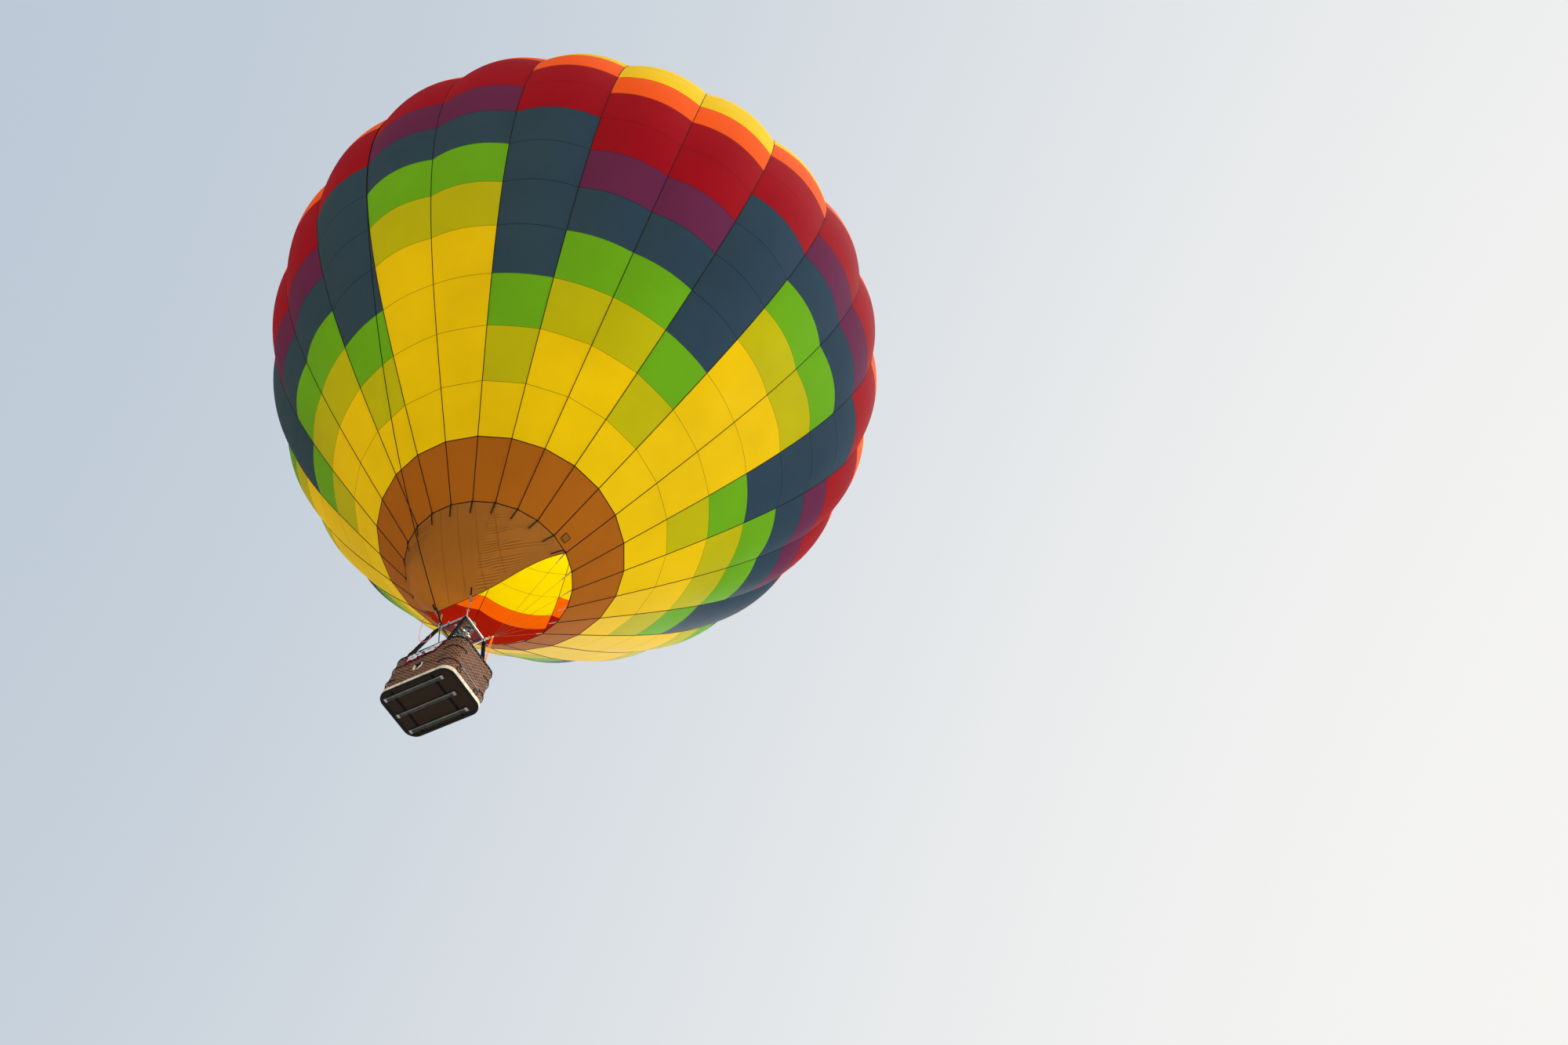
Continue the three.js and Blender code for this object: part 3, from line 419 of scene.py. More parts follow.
class Shape:
    """Collects faces for one piece."""

    def __init__(self):
        self.points, self.faces, self.slots, self.uvs, self.count = [], [], [], [], 0

    def add(self, points, faces, slot=0, uv=None):
        points = np.asarray(points, float).reshape(-1, 3)
        self.points.append(points)
        self.faces += [tuple(int(i) + self.count for i in f) for f in faces]
        self.slots += [slot] * len(faces) if np.isscalar(slot) else list(slot)
        self.uvs.append(np.zeros((len(points), 2)) if uv is None else np.asarray(uv, float).reshape(-1, 2))
        self.count += len(points)
        return self

    def grid(self, rows, slot=0, wrap=False, uv=None, flip=False):
        """rows: n x m points. slot: one number, or one for each row of faces."""
        rows = np.asarray(rows, float)
        n, m = rows.shape[:2]
        i, j = np.meshgrid(np.arange(n - 1), np.arange(m if wrap else m - 1), indexing="ij")
        k = (j + 1) % m
        quads = np.stack([i * m + j, i * m + k, (i + 1) * m + k, (i + 1) * m + j], -1).reshape(-1, 4)
        if flip:
            quads = quads[:, ::-1]
        return self.add(rows, quads, slot if np.isscalar(slot) else np.repeat(slot, j.shape[1]), uv)

    def sweep(self, rings, slot, closed):
        """Joins rings into a loop, or into a bar with capped ends."""
        rings = np.array(rings)
        if closed:
            return self.grid(np.concatenate([rings, rings[:1]]), slot, wrap=True)
        start, sides = self.count, rings.shape[1]
        self.grid(rings, slot, wrap=True)
        self.faces += [tuple(range(start, start + sides))[::-1], tuple(range(self.count - sides, self.count))]
        self.slots += [slot, slot]
        return self

    def tube(self, path, radius, sides=10, slot=0, closed=False, flat=1.0):
        """Sweeps a circle along a path. radius: one number or one a point. flat stretches it sideways."""
        path, tangent = along_path(path, closed)
        radii = np.broadcast_to(np.asarray(radius, float), len(path))
        tangent /= np.linalg.norm(tangent, axis=1)[:, None]
        side = square(tangent[0], Z_AXIS if abs(tangent[0][2]) < 0.9 else X_AXIS)
        a = np.arange(sides) * FULL_TURN / sides
        rings = []
        for centre, reach, t in zip(path, radii, tangent):
            side = unit(side - t * (side @ t))
            section = np.outer(np.cos(a), side) + flat * np.outer(np.sin(a), np.cross(t, side))
            rings.append(centre + reach * section)
        return self.sweep(rings, slot, closed)

    def strap(self, path, width, depth, across, slot=0, closed=False):
        """A flat band along a path. across gives the wide direction at each point, or one for all."""
        path, tangent = along_path(path, closed)
        across = np.broadcast_to(np.asarray(across, float), path.shape)
        widths = np.broadcast_to(np.asarray(width, float), len(path))
        rings = []
        for centre, wide, aside, t in zip(path, widths, across, tangent):
            a = unit(aside - unit(t) * (aside @ unit(t)))
            w, d = a * wide / 2, square(t, a) * depth / 2
            rings.append([centre + w * x + d * y for x, y in STRAP_SECTION])
        return self.sweep(rings, slot, closed)

    def lathe(self, profile, centre, axis, sides, slot=0):
        """profile: (radius, height) pairs from the lower end to the upper one. Radius 0 closes it."""
        axis = unit(axis)
        side = square(axis, X_AXIS if abs(axis[0]) < 0.9 else Y_AXIS)
        a = np.arange(sides) * FULL_TURN / sides
        ring = np.outer(np.cos(a), side) + np.outer(np.sin(a), np.cross(axis, side))
        rows = [np.asarray(centre) + axis * h + ring * max(r, 1e-5) for r, h in profile]
        return self.grid(rows, slot, wrap=True)

    def block(self, size, centre, slot=0, bevel=0.12):
        """A block with all its edges cut back."""
        half = np.asarray(size, float) / 2
        b = bmesh.new()
        for signs, axis in product(product((-1, 1), repeat=3), range(3)):
            corner = half - min(half) * 2 * bevel
            corner[axis] = half[axis]
            b.verts.new(corner * signs)
        bmesh.ops.convex_hull(b, input=b.verts)
        bmesh.ops.dissolve_limit(b, angle_limit=0.01, verts=b.verts, edges=b.edges)
        b.verts.index_update()
        points = np.array([v.co[:] for v in b.verts]) + np.asarray(centre)
        self.add(points, [[v.index for v in f.verts] for f in b.faces], slot)
        b.free()
        return self

    def piece(self, name, materials, slot, replaces=None, body="balloon", angle=40, uv=False, period=0):
        """Makes the object. period: the length of u once round, where the faces close on themselves."""
        mesh = bpy.data.meshes.new(name)
        mesh.from_pydata(np.concatenate(self.points).tolist(), [], self.faces)
        for m in materials if isinstance(materials, list) else [materials]:
            mesh.materials.append(m)
        mesh.polygons.foreach_set("material_index", np.array(self.slots, np.int32))
        if uv:
            layer = mesh.uv_layers.new(name="UVMap")
            corner = np.zeros(len(mesh.loops), np.int32)
            mesh.loops.foreach_get("vertex_index", corner)
            values = np.concatenate(self.uvs)[corner].astype(np.float32)
            if period:
                u = values[:, 0].reshape(-1, 4)
                u[(u.max(1, keepdims=True) - u) > period / 2] += period
            layer.data.foreach_set("uv", values.ravel())
        mesh.validate()
        o = bpy.data.objects.new(name, mesh)
        link(o)
        mesh.shade_smooth()
        if angle:
            mesh.set_sharp_from_angle(angle=math.radians(angle))
        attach(o, body)
        if replaces:
            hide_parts(replaces)
        return o


def along_path(path, closed):
    """The path's points, and its direction at each."""
    path = np.asarray(path, float)
    if closed:
        return path, np.roll(path, -1, 0) - np.roll(path, 1, 0)
    return path, np.gradient(path, axis=0)


# The load tape's curve, as in the CAD: (length along it, radius, height, slope)
STEP = 0.015
VALVE_LAP = 0.42  # of the valve over the edge of the crown opening
BULGE_FULL, BULGE_FADE = 9.0, 2.6  # the gores bulge fully from the first, and less over the last at the crown
tape_curve = []
r, h, slope, s = MOUTH_RADIUS, MOUTH_HEIGHT, MOUTH_SLOPE, 0.0
while r > 0:
    tape_curve.append((s, r, h, slope))
    bend = LIFT_CURVATURE * (1 + SHOULDER[2] * float(smooth(SHOULDER[0], SHOULDER[1], s)))
    slope -= bend * r * (h - MOUTH_HEIGHT) * STEP
    r += math.sin(slope) * STEP
    h += math.cos(slope) * STEP
    s += STEP
tape_curve = np.array(tape_curve)
CROWN_EDGE = float(tape_curve[np.where(tape_curve[:, 1] > CROWN_RADIUS)[0][-1], 0])


def on_tape(s):
    """Radius, height and slope of the tape at that length."""
    return [np.interp(s, tape_curve[:, 0], tape_curve[:, k]) for k in (1, 2, 3)]


def on_ring(s, bearing, depth=0.0):
    """A point on the tape's curve at that bearing."""
    r, h, slope = on_tape(s)
    reach = r - depth * np.cos(slope)
    height = low(h + depth * np.sin(slope))
    return np.stack(np.broadcast_arrays(reach * np.cos(bearing), reach * np.sin(bearing), height), -1)


def tape_bearing(n):
    """The bearing of load tape n, between two gores."""
    return (n + 0.5) * GORE_ANGLE


def sideways(n):
    """The level direction across tape n."""
    return -math.sin(tape_bearing(n)), math.cos(tape_bearing(n)), 0


def on_flat_ring(s, place, depth=0.0):
    """Like on_ring, but straight from tape to tape. place counts tapes."""
    place = np.asarray(place, float)
    n = np.floor(place)
    t = (place - n)[..., None]
    return on_ring(s, tape_bearing(n), depth) * (1 - t) + on_ring(s, tape_bearing(n + 1), depth) * t


def on_gore(s, across, depth, extra):
    """A point of the gore centred on +X, as in the CAD: across runs from -1 to 1."""
    r, h, slope = on_tape(s)
    half = r * math.sin(GORE_ANGLE / 2)
    full = smooth(BAND_TOP, BULGE_FULL, s) * (1 - smooth(CROWN_EDGE - BULGE_FADE, CROWN_EDGE, s))
    rise = BULGE * 2 * half * full * (1 - across**2) + extra
    bearing = np.arctan2(across * half, r * math.cos(GORE_ANGLE / 2))
    x = r * math.cos(GORE_ANGLE / 2) + rise * np.cos(slope) - depth * np.cos(slope) * np.cos(bearing)
    y = across * half - depth * np.cos(slope) * np.sin(bearing)
    return np.stack([x, y, low(h - rise * np.sin(slope) + depth * np.sin(slope))], -1)


def about_z(points, angle):
    """The points turned about the balloon's axis."""
    c, s = math.cos(angle), math.sin(angle)
    return np.asarray(points) @ np.array([[c, s, 0], [-s, c, 0], [0, 0, 1]])


# Envelope
SEAM_HALF = 0.008
PANEL_ROWS, GORE_COLUMNS = 8, 17
LAST_PANEL = 0.35  # the least depth of the panel at the crown
GORE_DEPTH, GORE_GAP = 0.004, 0.0002
BULGE_WIDENS = 1.03
PUCKER, PUCKER_PITCH = 0.006, 0.31
seams = list(PANEL_SEAMS)
while seams[-1] + PANEL_PITCH < CROWN_EDGE - LAST_PANEL:
    seams.append(seams[-1] + PANEL_PITCH)
edges = seams + [CROWN_EDGE]
stations, kinds = [], []  # where each row of faces starts, and (panel, is it a seam)
for k in range(len(seams)):
    has_seam = k < len(seams) - 1
    first = edges[k] + (SEAM_HALF if k else 0)
    last = edges[k + 1] - (SEAM_HALF if has_seam else 0)
    stations += list(np.linspace(first, last, PANEL_ROWS + 1))
    kinds += [(k, False)] * PANEL_ROWS + [(k, True)] * has_seam
even = np.linspace(-1, 1, GORE_COLUMNS)
columns = np.sin(even * math.pi / 2) * 0.35 + even * 0.65  # closer together near the tapes
S, A = np.meshgrid(stations, columns, indexing="ij")
from_tape = 1 - np.abs(A)
widest = 2 * math.sin(GORE_ANGLE / 2) * tape_curve[:, 1].max() * BULGE_WIDENS
length = CROWN_EDGE - BAND_TOP
gore_area = None
for g in range(GORES):
    names = ROWS[GORE_KINDS[g % len(GORE_KINDS)]].split()
    names += ["yellow"] * (len(seams) - len(names))
    used = sorted(set(names))
    slots = [used.index(names[k]) + (len(used) if seam else 0) for k, seam in kinds]
    ripple = PUCKER * np.exp(-from_tape / 0.1) * np.sin(S * FULL_TURN / PUCKER_PITCH + g)
    ripple *= np.sin(np.pi * np.clip(from_tape / 0.5, 0, 1))
    points = on_gore(S, A * (1 - GORE_GAP / on_tape(S)[0]), GORE_DEPTH, ripple)
    uv = np.stack([A * on_tape(S)[0] * math.sin(GORE_ANGLE / 2), S], -1)
    shape = Shape().grid(about_z(points, g * GORE_ANGLE), slots, uv=uv, flip=True)
    materials = [CLOTH_MATERIALS[c] for c in used] + [SEAM_MATERIALS[c] for c in used]
    number = f"{g + 1:02d}"
    o = shape.piece("gore_cloth_" + number, materials, "envelope_fabric", "gore_" + number, angle=0, uv=True)
    gore_area = gore_area or sum(p.area for p in o.data.polygons)
    min(gore_area, widest * length)

# Load tapes, and the tapes along the mouth and the band's upper edge
TAPE_WIDTH, TAPE_DEPTH, MOUTH_TAPE = 0.016, 0.01, 0.019
tapes = Shape()
line = np.concatenate([np.linspace(0, BAND_TOP, 12), np.linspace(BAND_TOP, CROWN_EDGE + 0.06, 150)[1:]])
for n in range(GORES):
    tapes.strap(on_ring(line, tape_bearing(n), 0.001), TAPE_WIDTH, TAPE_DEPTH, sideways(n))
for height, width in ((BAND_TOP, TAPE_WIDTH), (0.008, MOUTH_TAPE)):
    ring, above_it = (on_flat_ring(height + rise, np.arange(0, GORES, 0.25), 0.002) for rise in (0, 0.1))
    tapes.strap(ring, width, TAPE_DEPTH, above_it - ring, closed=True)
tapes.piece("load_tapes", BLACK_TAPE, "webbing")

# The heat resistant band
BAND_SWELL, BAND_ROWS, BAND_STEPS = 0.03, 17, 8
place = np.linspace(0, GORES, GORES * BAND_STEPS + 1)[:-1]
between_tapes = place - np.floor(place)
outward = np.stack([np.cos((place + 0.5) * GORE_ANGLE), np.sin((place + 0.5) * GORE_ANGLE), 0 * place], -1)
depths = np.linspace(0.0, BAND_TOP, BAND_ROWS)
band_rows = []
for depth in depths:
    swell = BAND_SWELL * 4 * between_tapes * (1 - between_tapes)
    swell = swell * math.sin(math.pi * min(1, 0.08 + depth / BAND_TOP)) * 0.6
    band_rows.append(on_flat_ring(depth, place, GORE_DEPTH) + outward * swell[:, None])
band_uv = np.stack(np.meshgrid(depths, place * 0.55, indexing="ij")[::-1], -1)
band = Shape().grid(band_rows, wrap=True, uv=band_uv)
band = band.piece("heat_band_cloth", BAND, "heat_band_fabric", "heat_band", angle=0, uv=True)

# The scoop: it hangs on tapes 11 to 24, two spans a gore, and its lower edge is straight between two corners
SCOOP = {"half": 0.372, "y": -0.432, "z": 2.462, "first": 11, "last": 24, "billow": 0.12, "hollow": 0.05}
SCOOP_START = -0.0003  # along the tape, just under the band
SPANS = 2 * (SCOOP["last"] - SCOOP["first"])
SIDE_SPANS = 9  # whose lower ends gather at one corner
SCOOP_COLUMNS, SCOOP_ROWS = 10, 226  # columns a span
# Its seams as in the photograph: the first is at X = SEAM_FROM where Y = -SEAM_LEVEL, and all lean alike
SEAM_SPACING, SEAM_LEAN, SEAM_FROM, SEAM_LEVEL = 0.367, 0.245, -0.25, 3.95
HEM_STEP = 0.025
FAN_GATHERS, FAN_REACH = 13, 0.2
FANS = {8: 0.8, 10: 1, 12: 0.8, 18: 0.4, 20: 0.7, 22: 1, 24: 1, 25: 0.7}  # spans, and how much they gather


def scoop_point(i, share, depth=0.0):
    """As in the CAD: i runs over the spans from tape 11 to tape 24, share from the mouth down to the edge."""
    i = SPANS / 2 + (i - SPANS / 2) * (1 - SCOOP["hollow"] * math.sin(math.pi * share))  # hollow sides
    high = on_flat_ring(SCOOP_START, SCOOP["first"] + i / 2, depth)
    from_end = min(i, SPANS - i)
    side = -1 if i < SPANS / 2 else 1
    corner = np.array([side * SCOOP["half"], SCOOP["y"], low(SCOOP["z"])])
    if from_end < SIDE_SPANS:
        end = on_flat_ring(SCOOP_START, SCOOP["first"] if side < 0 else SCOOP["last"], depth)
        lower = corner + (end - corner) * 0.06 * (1 - from_end / SIDE_SPANS)
    else:
        across = 2 * (i - SIDE_SPANS) / (SPANS - 2 * SIDE_SPANS) - 1
        lower = np.array([SCOOP["half"] * across, SCOOP["y"], low(SCOOP["z"])])
    swell = SCOOP["billow"] * (0.3 + 0.7 * float(smooth(0, 4, from_end))) * math.sin(math.pi * share)
    swell += 0.01 * min(1, share * 8) - depth
    return high + (lower - high) * share + unit([high[0], high[1], 0]) * swell


across_i = np.linspace(0, SPANS, SPANS * SCOOP_COLUMNS + 1)
down = np.linspace(0, 1, SCOOP_ROWS)
I, D = np.meshgrid(across_i, down)
smooth_scoop = np.array([[scoop_point(float(i), float(share), 0.003) for i in across_i] for share in down])
X, Y = (smooth_scoop @ np.array(axis) for axis in axes[:2])  # metres across and up, as the camera sees it


def ripples(slope, pitch, length, seed):
    """Gathers of that pitch and length, rising by slope: their ridges and their shaded sides, from 0 to 1."""
    height = Y - slope * X
    phase = height / pitch + 1.5 * soft_noise(X * 1.5 + 40, height * 2.5 + 40, seed)
    phase += 0.5 * soft_noise(X * 4 + 40, height * 7 + 40, seed + 1)
    broken = smooth(0.22, 0.6, soft_noise(X / length + 40, height / pitch * 0.55 + 400, seed + 2))
    ridge = (0.5 + 0.5 * np.cos(FULL_TURN * phase)) ** 2
    shaded = (0.5 + 0.5 * np.cos(FULL_TURN * (phase + 0.36))) ** 2
    return ridge * broken, shaded * broken


def fan(i, seed):
    """Gathers that spread from the tab on span i."""
    tab = smooth_scoop[0, i * SCOOP_COLUMNS]
    dx, dy = X - tab @ np.array(axes[0]), Y - tab @ np.array(axes[1])
    radius, angle = np.hypot(dx, dy), np.arctan2(dy, dx)
    wave = 0.5 + 0.5 * np.cos(angle * FAN_GATHERS + 3 * soft_noise(radius * 3 + 40, angle * 2 + 40, seed))
    return 1.3 * wave**2 * np.exp(-((radius / FAN_REACH) ** 2)) * smooth(0.01, 0.06, radius)


RIGHT_RISE, LEFT_RISE, FAN_RISE = 0.0085, 0.011, 0.016
# How strongly the ridges of the gathers are painted lighter and their shaded sides painted darker
LIT, SHADED = 0.32, 0.44
right_side = smooth(-0.03, 0.09, X - 0.08 * (Y + 4.7) + 0.1 * soft_noise(X * 0 + 40, Y * 14 + 200, 5))
right_side *= 1 - 0.75 * smooth(23.4, 25.2, I)
left_side = (1 - smooth(10.8, 12.6, I)) * smooth(0.02, 0.07, D) * (1 - smooth(0.2, 0.42, D))
fine, fine_shaded = ripples(slope=0.17, pitch=0.052, length=0.42, seed=21)
left_fine, left_shaded = ripples(slope=0.6, pitch=0.062, length=0.22, seed=31)
fans = sum(strength * fan(i, 40 + i) for i, strength in FANS.items())
wrinkle = right_side * RIGHT_RISE * fine + left_side * LEFT_RISE * left_fine + FAN_RISE * fans
wrinkle += 0.02 * soft_noise(I * 0.45, D * 2.5, 15) * np.sin(math.pi * D)
# crease is painted light and shade for the cloth: lighter ridges, darker shaded sides, and painted highlights
# and shade on the fans by the tabs
crease = 0.5 + right_side * (LIT * fine - SHADED * fine_shaded)
crease = crease + left_side * (LIT * left_fine - SHADED * left_shaded)
crease = np.clip(crease + 0.4 * fans - 0.22 * np.minimum(fans * 2, 1), 0, 1)
outwards = smooth_scoop * [1, 1, 0]
outwards /= np.linalg.norm(outwards, axis=2)[..., None]
ends = smooth(0, 0.04, D) * (1 - smooth(0.96, 1, D))
scoop_rows = smooth_scoop + (outwards + [0, 0, 0.25]) * (wrinkle * ends)[..., None]
scoop = Shape().grid(scoop_rows, uv=np.stack([I * 0.22, D * 1.8], -1))
scoop = scoop.piece("scoop_sheet", SCOOP_CLOTH, "heat_band_fabric", "air_scoop", angle=0, uv=True)
# The painted light and shade go onto the mesh for the cloth to read
painted_light_layer = scoop.data.color_attributes.new("painted_light_of_folds", "FLOAT_COLOR", "POINT")
painted_light_layer.data.foreach_set("color", np.repeat(crease.ravel(), 4).astype(np.float32))

# The scoop's hem, and the seams between its panels
hem = Shape()
hem_line = np.concatenate([scoop_rows[:, 0], scoop_rows[-1, 1:-1], scoop_rows[::-1, -1]])
hem_path = [hem_line[0]]
for point in hem_line[1:]:
    if np.linalg.norm(point - hem_path[-1]) > HEM_STEP:
        hem_path.append(point)
hem.strap(hem_path, 0.019, 0.007, np.cross(np.gradient(hem_path, axis=0), [0, -1, 0.3]))
for k in range(-2, 2):
    seam = []
    for row in range(4, SCOOP_ROWS - 3, 3):
        off = X[row] - (SEAM_FROM + SEAM_SPACING * k - SEAM_LEAN * (Y[row] + SEAM_LEVEL))
        crossed = np.nonzero((off[:-1] < 0) & (off[1:] >= 0))[0]
        if len(crossed) == 0:
            continue
        c = crossed[-1]
        part = off[c] / (off[c] - off[c + 1])
        lifted = scoop_rows[row, c : c + 2] + outwards[row, c : c + 2] * 0.003
        seam.append(lifted[0] * (1 - part) + lifted[1] * part)
    hem.strap(seam, 0.007, 0.003, X_AXIS, slot=1)
hem.piece("scoop_edge_tape", [BLACK_TAPE, SCOOP_SEAM], "webbing")

# A bare patch sewn on the band
PATCH_POINTS = 5  # each way
PATCH_HEIGHTS, PATCH_PLACES = np.linspace(0.1, 0.26, PATCH_POINTS), np.linspace(-0.7, -0.4, PATCH_POINTS)
patch_uv = np.array(list(product(PATCH_HEIGHTS, PATCH_PLACES)))
patch_rows = np.array([on_flat_ring(height, at, -0.016) for height, at in patch_uv])
patch_rows = patch_rows.reshape(PATCH_POINTS, PATCH_POINTS, 3)
patch = Shape().grid(patch_rows, uv=patch_uv)
rim_of_patch = [patch_rows[0], patch_rows[1:, -1], patch_rows[-1, -2::-1], patch_rows[-2:0:-1, 0]]
patch.tube(np.concatenate(rim_of_patch), 0.006, 6, slot=1, closed=True)
patch.piece("blank_patch", [SCOOP_SEAM, BLACK_TAPE], "heat_band_fabric", uv=True)

# Crown
RING_RADIUS, VALVE_DEPTH, VALVE_SIDES = 0.255, 0.016, 96
crown_end = CROWN_EDGE
while on_tape(crown_end)[0] > RING_RADIUS:
    crown_end += 0.01
lap = np.linspace(CROWN_EDGE - VALVE_LAP, CROWN_EDGE, 5)
bearing = round_angles(VALVE_SIDES)
valve_rows = [on_ring(s, bearing, VALVE_DEPTH) for s in (*lap, *np.linspace(CROWN_EDGE, crown_end, 26)[1:])]
top = low(on_tape(crown_end)[1] - VALVE_DEPTH)
valve_rows.append(np.stack([1e-4 * np.cos(bearing), 1e-4 * np.sin(bearing), top + 0 * bearing], -1))
valve = Shape().grid(valve_rows, wrap=True)
yellow = CLOTH_MATERIALS["yellow"]
valve_piece = valve.piece("valve_cloth", yellow, "valve_fabric", "parachute_valve", "valve", angle=0, uv=True)
for node, material in (("crown_tapes", BLACK_TAPE), ("crown_ring", STEEL), ("floor_board", PLY)):
    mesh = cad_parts[node].data
    mesh.materials.clear()
    mesh.materials.append(material)


# Rigging
HUB_FRONT, HUB_BACK = (0.315, 0.36, 2.42), (0.354, 0.407, 2.3)
WIRES_A_HUB, WIRE_RADIUS, WIRE_SAG = 6, 0.003, 0.012
TAN_LENGTH = 0.3  # of the strap at the upper end of a wire
TAN_WIDTHS = [0.04, 0.04, 0.034, 0.028, 0.018]
RING_PLACE, RING_SIZE = 0.145, 0.022  # of the steel ring over each corner of the frame


def frame_corner(sx, sy):
    return np.array([sx * FRAME_X, sy * FRAME_Y, low(FRAME_Z)])


def upright_foot(sx, sy):
    return np.array([sx * UPRIGHT_FOOT_X, sy * (BASKET_Y - WALL_MIDDLE), low(RIM_HEIGHT + UPRIGHT_FOOT_RISE)])


def hub_of(sx, sy):
    x, y, z = HUB_FRONT if sy < 0 else HUB_BACK
    return np.array([sx * x, sy * y, low(z)])


for c, (sx, sy) in enumerate(CORNERS):
    hub, corner = hub_of(sx, sy), frame_corner(sx, sy)
    pull = unit(hub - corner)
    rig = Shape()
    for n in range(c * WIRES_A_HUB, (c + 1) * WIRES_A_HUB):
        b = tape_bearing(n)
        end = on_ring(0.0, b, 0.016)
        along = unit(hub - end)
        path = [on_ring(0.08, b, 0.014), on_ring(0.02, b, 0.015)]
        path += [end + along * length for length in (0.04, 0.15, TAN_LENGTH)]
        rig.strap(path, TAN_WIDTHS, 0.007, sideways(n), slot=1)
        rig.tube(between(end + along * (TAN_LENGTH - 0.02), hub, 10, WIRE_SAG), WIRE_RADIUS, 6)
    rig.tube([hub + pull * 0.02, hub - pull * 0.02], 0.016, 10, slot=2)
    across = np.cross(pull, [sx, -sy, 0])
    rig.strap(between(hub, corner + pull * 0.16, 6), 0.026, 0.01, across, slot=1)
    v = square(pull, [sx, sy, 0])
    w = square(pull, v)
    rig.tube(circle(corner + pull * RING_PLACE, pull, v, RING_SIZE, 24), 0.0045, 8, slot=2, closed=True)
    rig.piece(f"flying_rigging_{c + 1}", [WIRE, TAN, STEEL], "wire_steel", f"flying_wires_{c + 1}")
    low_node, high_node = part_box(f"carabiner_{c + 1}")
    centre = np.array((low_node + high_node) / 2)
    bow = []
    for t in round_angles(24):
        lengthways = 0.046 * (0.35 * math.cos(t) ** 3 + 0.65 * math.cos(t))
        bow.append(centre + pull * lengthways + w * 0.02 * math.sin(t))
    clip = Shape().tube(bow, 0.0056, 10, closed=True)
    gate = [centre + pull * q + w * 0.0205 for q in (-0.026, -0.02, 0.004, 0.008)]
    clip.tube(gate, [0.0062, 0.0085, 0.0085, 0.0062], 14)
    clip.piece(f"carabiner_link_{c + 1}", STEEL, "carabiner_steel", f"carabiner_{c + 1}")


# The scoop's tabs on the mouth, and the straps that hold its lower corners
def over_scoop(i, shares):
    """Points just outside the scoop on span i."""
    points = [scoop_point(i, share) for share in shares]
    return [q + unit([q[0], q[1], 0]) * 0.03 for q in points]


tabs = Shape()
for n in range(SCOOP["first"], SCOOP["last"] + 1):
    i = min(max(2.0 * (n - SCOOP["first"]), 0.35), SPANS - 0.35)
    path = [on_ring(0.02, tape_bearing(n), -0.01)] + over_scoop(i, (0.014, 0.05, 0.09, 0.13, 0.165))
    tabs.strap(path, 0.024, 0.006, sideways(n))
for i, sx in ((SIDE_SPANS, -1), (SPANS - SIDE_SPANS, 1)):
    path = over_scoop(float(i), (0.925, 0.95, 0.97, 0.99))
    corner_end = path[-1] + [0, -0.004, -0.03]
    tabs.strap(path + [corner_end], 0.03, 0.006, X_AXIS)
    corner = frame_corner(sx, -1)
    goal = corner + unit(hub_of(sx, -1) - corner) * 0.165
    widths = [0.03, 0.03, 0.026, 0.022, 0.018, 0.016, 0.014]
    tabs.strap(between(corner_end, goal, 7), widths, 0.006, X_AXIS, slot=1)
tabs.piece("mouth_tabs", [BLACK_TAPE, TAN], "webbing")


# Burner frame: a loop of tube with a socket and an eye at each corner
def rounded_corners(x, y, radius, degrees):
    """The points of each corner of a rounded rectangle, from +X +Y round."""
    for (sx, sy), start in zip(CORNERS, (0, 90, 180, 270)):
        angles = [math.radians(start + t) for t in degrees]
        centre = np.array([sx * (x - radius), sy * (y - radius)])
        yield [centre + radius * np.array([math.cos(a), math.sin(a)]) for a in angles]


Z0 = low(FRAME_Z)  # the level of the frame, the gimbal and the burner's pivots
SOCKET = [(0, -0.07), (0.021, -0.07), (0.024, -0.062), (0.024, 0.006), (0.021, 0.012), (0, 0.012)]
BRACKET = np.array([-0.1, -0.29, Z0])
STRAP_POINTS = ([0.02, 0, -0.02], [0.045, -0.012, -0.07], [0.03, -0.006, -0.13], [0.055, 0.0, -0.155])
frame_shape = Shape()
loop = rounded_corners(FRAME_X, FRAME_Y, 0.055, np.linspace(0, 90, 7))
frame_shape.tube([[*p, Z0] for corner in loop for p in corner], 0.0165, 20, closed=True)
for sx, sy in CORNERS:
    corner = frame_corner(sx, sy)
    rise = unit(corner - upright_foot(sx, sy))
    pull = unit(hub_of(sx, sy) - corner)
    frame_shape.lathe(SOCKET, corner, rise, 24)
    w = square(pull, square(pull, [sx, sy, 0]))
    frame_shape.tube(circle(corner + pull * 0.032, pull, w, 0.018, 20), 0.0062, 10, closed=True)
    frame_shape.tube([corner + rise * 0.004, corner + pull * 0.02], 0.011, 14)
for side in (-1, 1):
    frame_shape.block((0.032, 0.048, 0.048), (side * 0.296, 0, Z0))
    for y in (-0.03, 0.03):
        frame_shape.tube([(side * 0.305, y, Z0 - 0.026), (side * 0.305, y, Z0 + 0.026)], 0.0045, 8, slot=1)
frame_shape.block((0.03, 0.052, 0.052), BRACKET, slot=1)
frame_shape.tube([BRACKET + [0, -0.01, 0.02], BRACKET + [0, -0.016, 0.075]], 0.007, 10, slot=1)
frame_shape.piece("burner_frame_tube", [STEEL, DULL], "frame_steel", "burner_frame")
hanging = Shape().strap(curve_through([BRACKET + p for p in STRAP_POINTS], 6), 0.022, 0.008, Y_AXIS)
hanging.piece("frame_strap", BLACK_TAPE, "webbing")

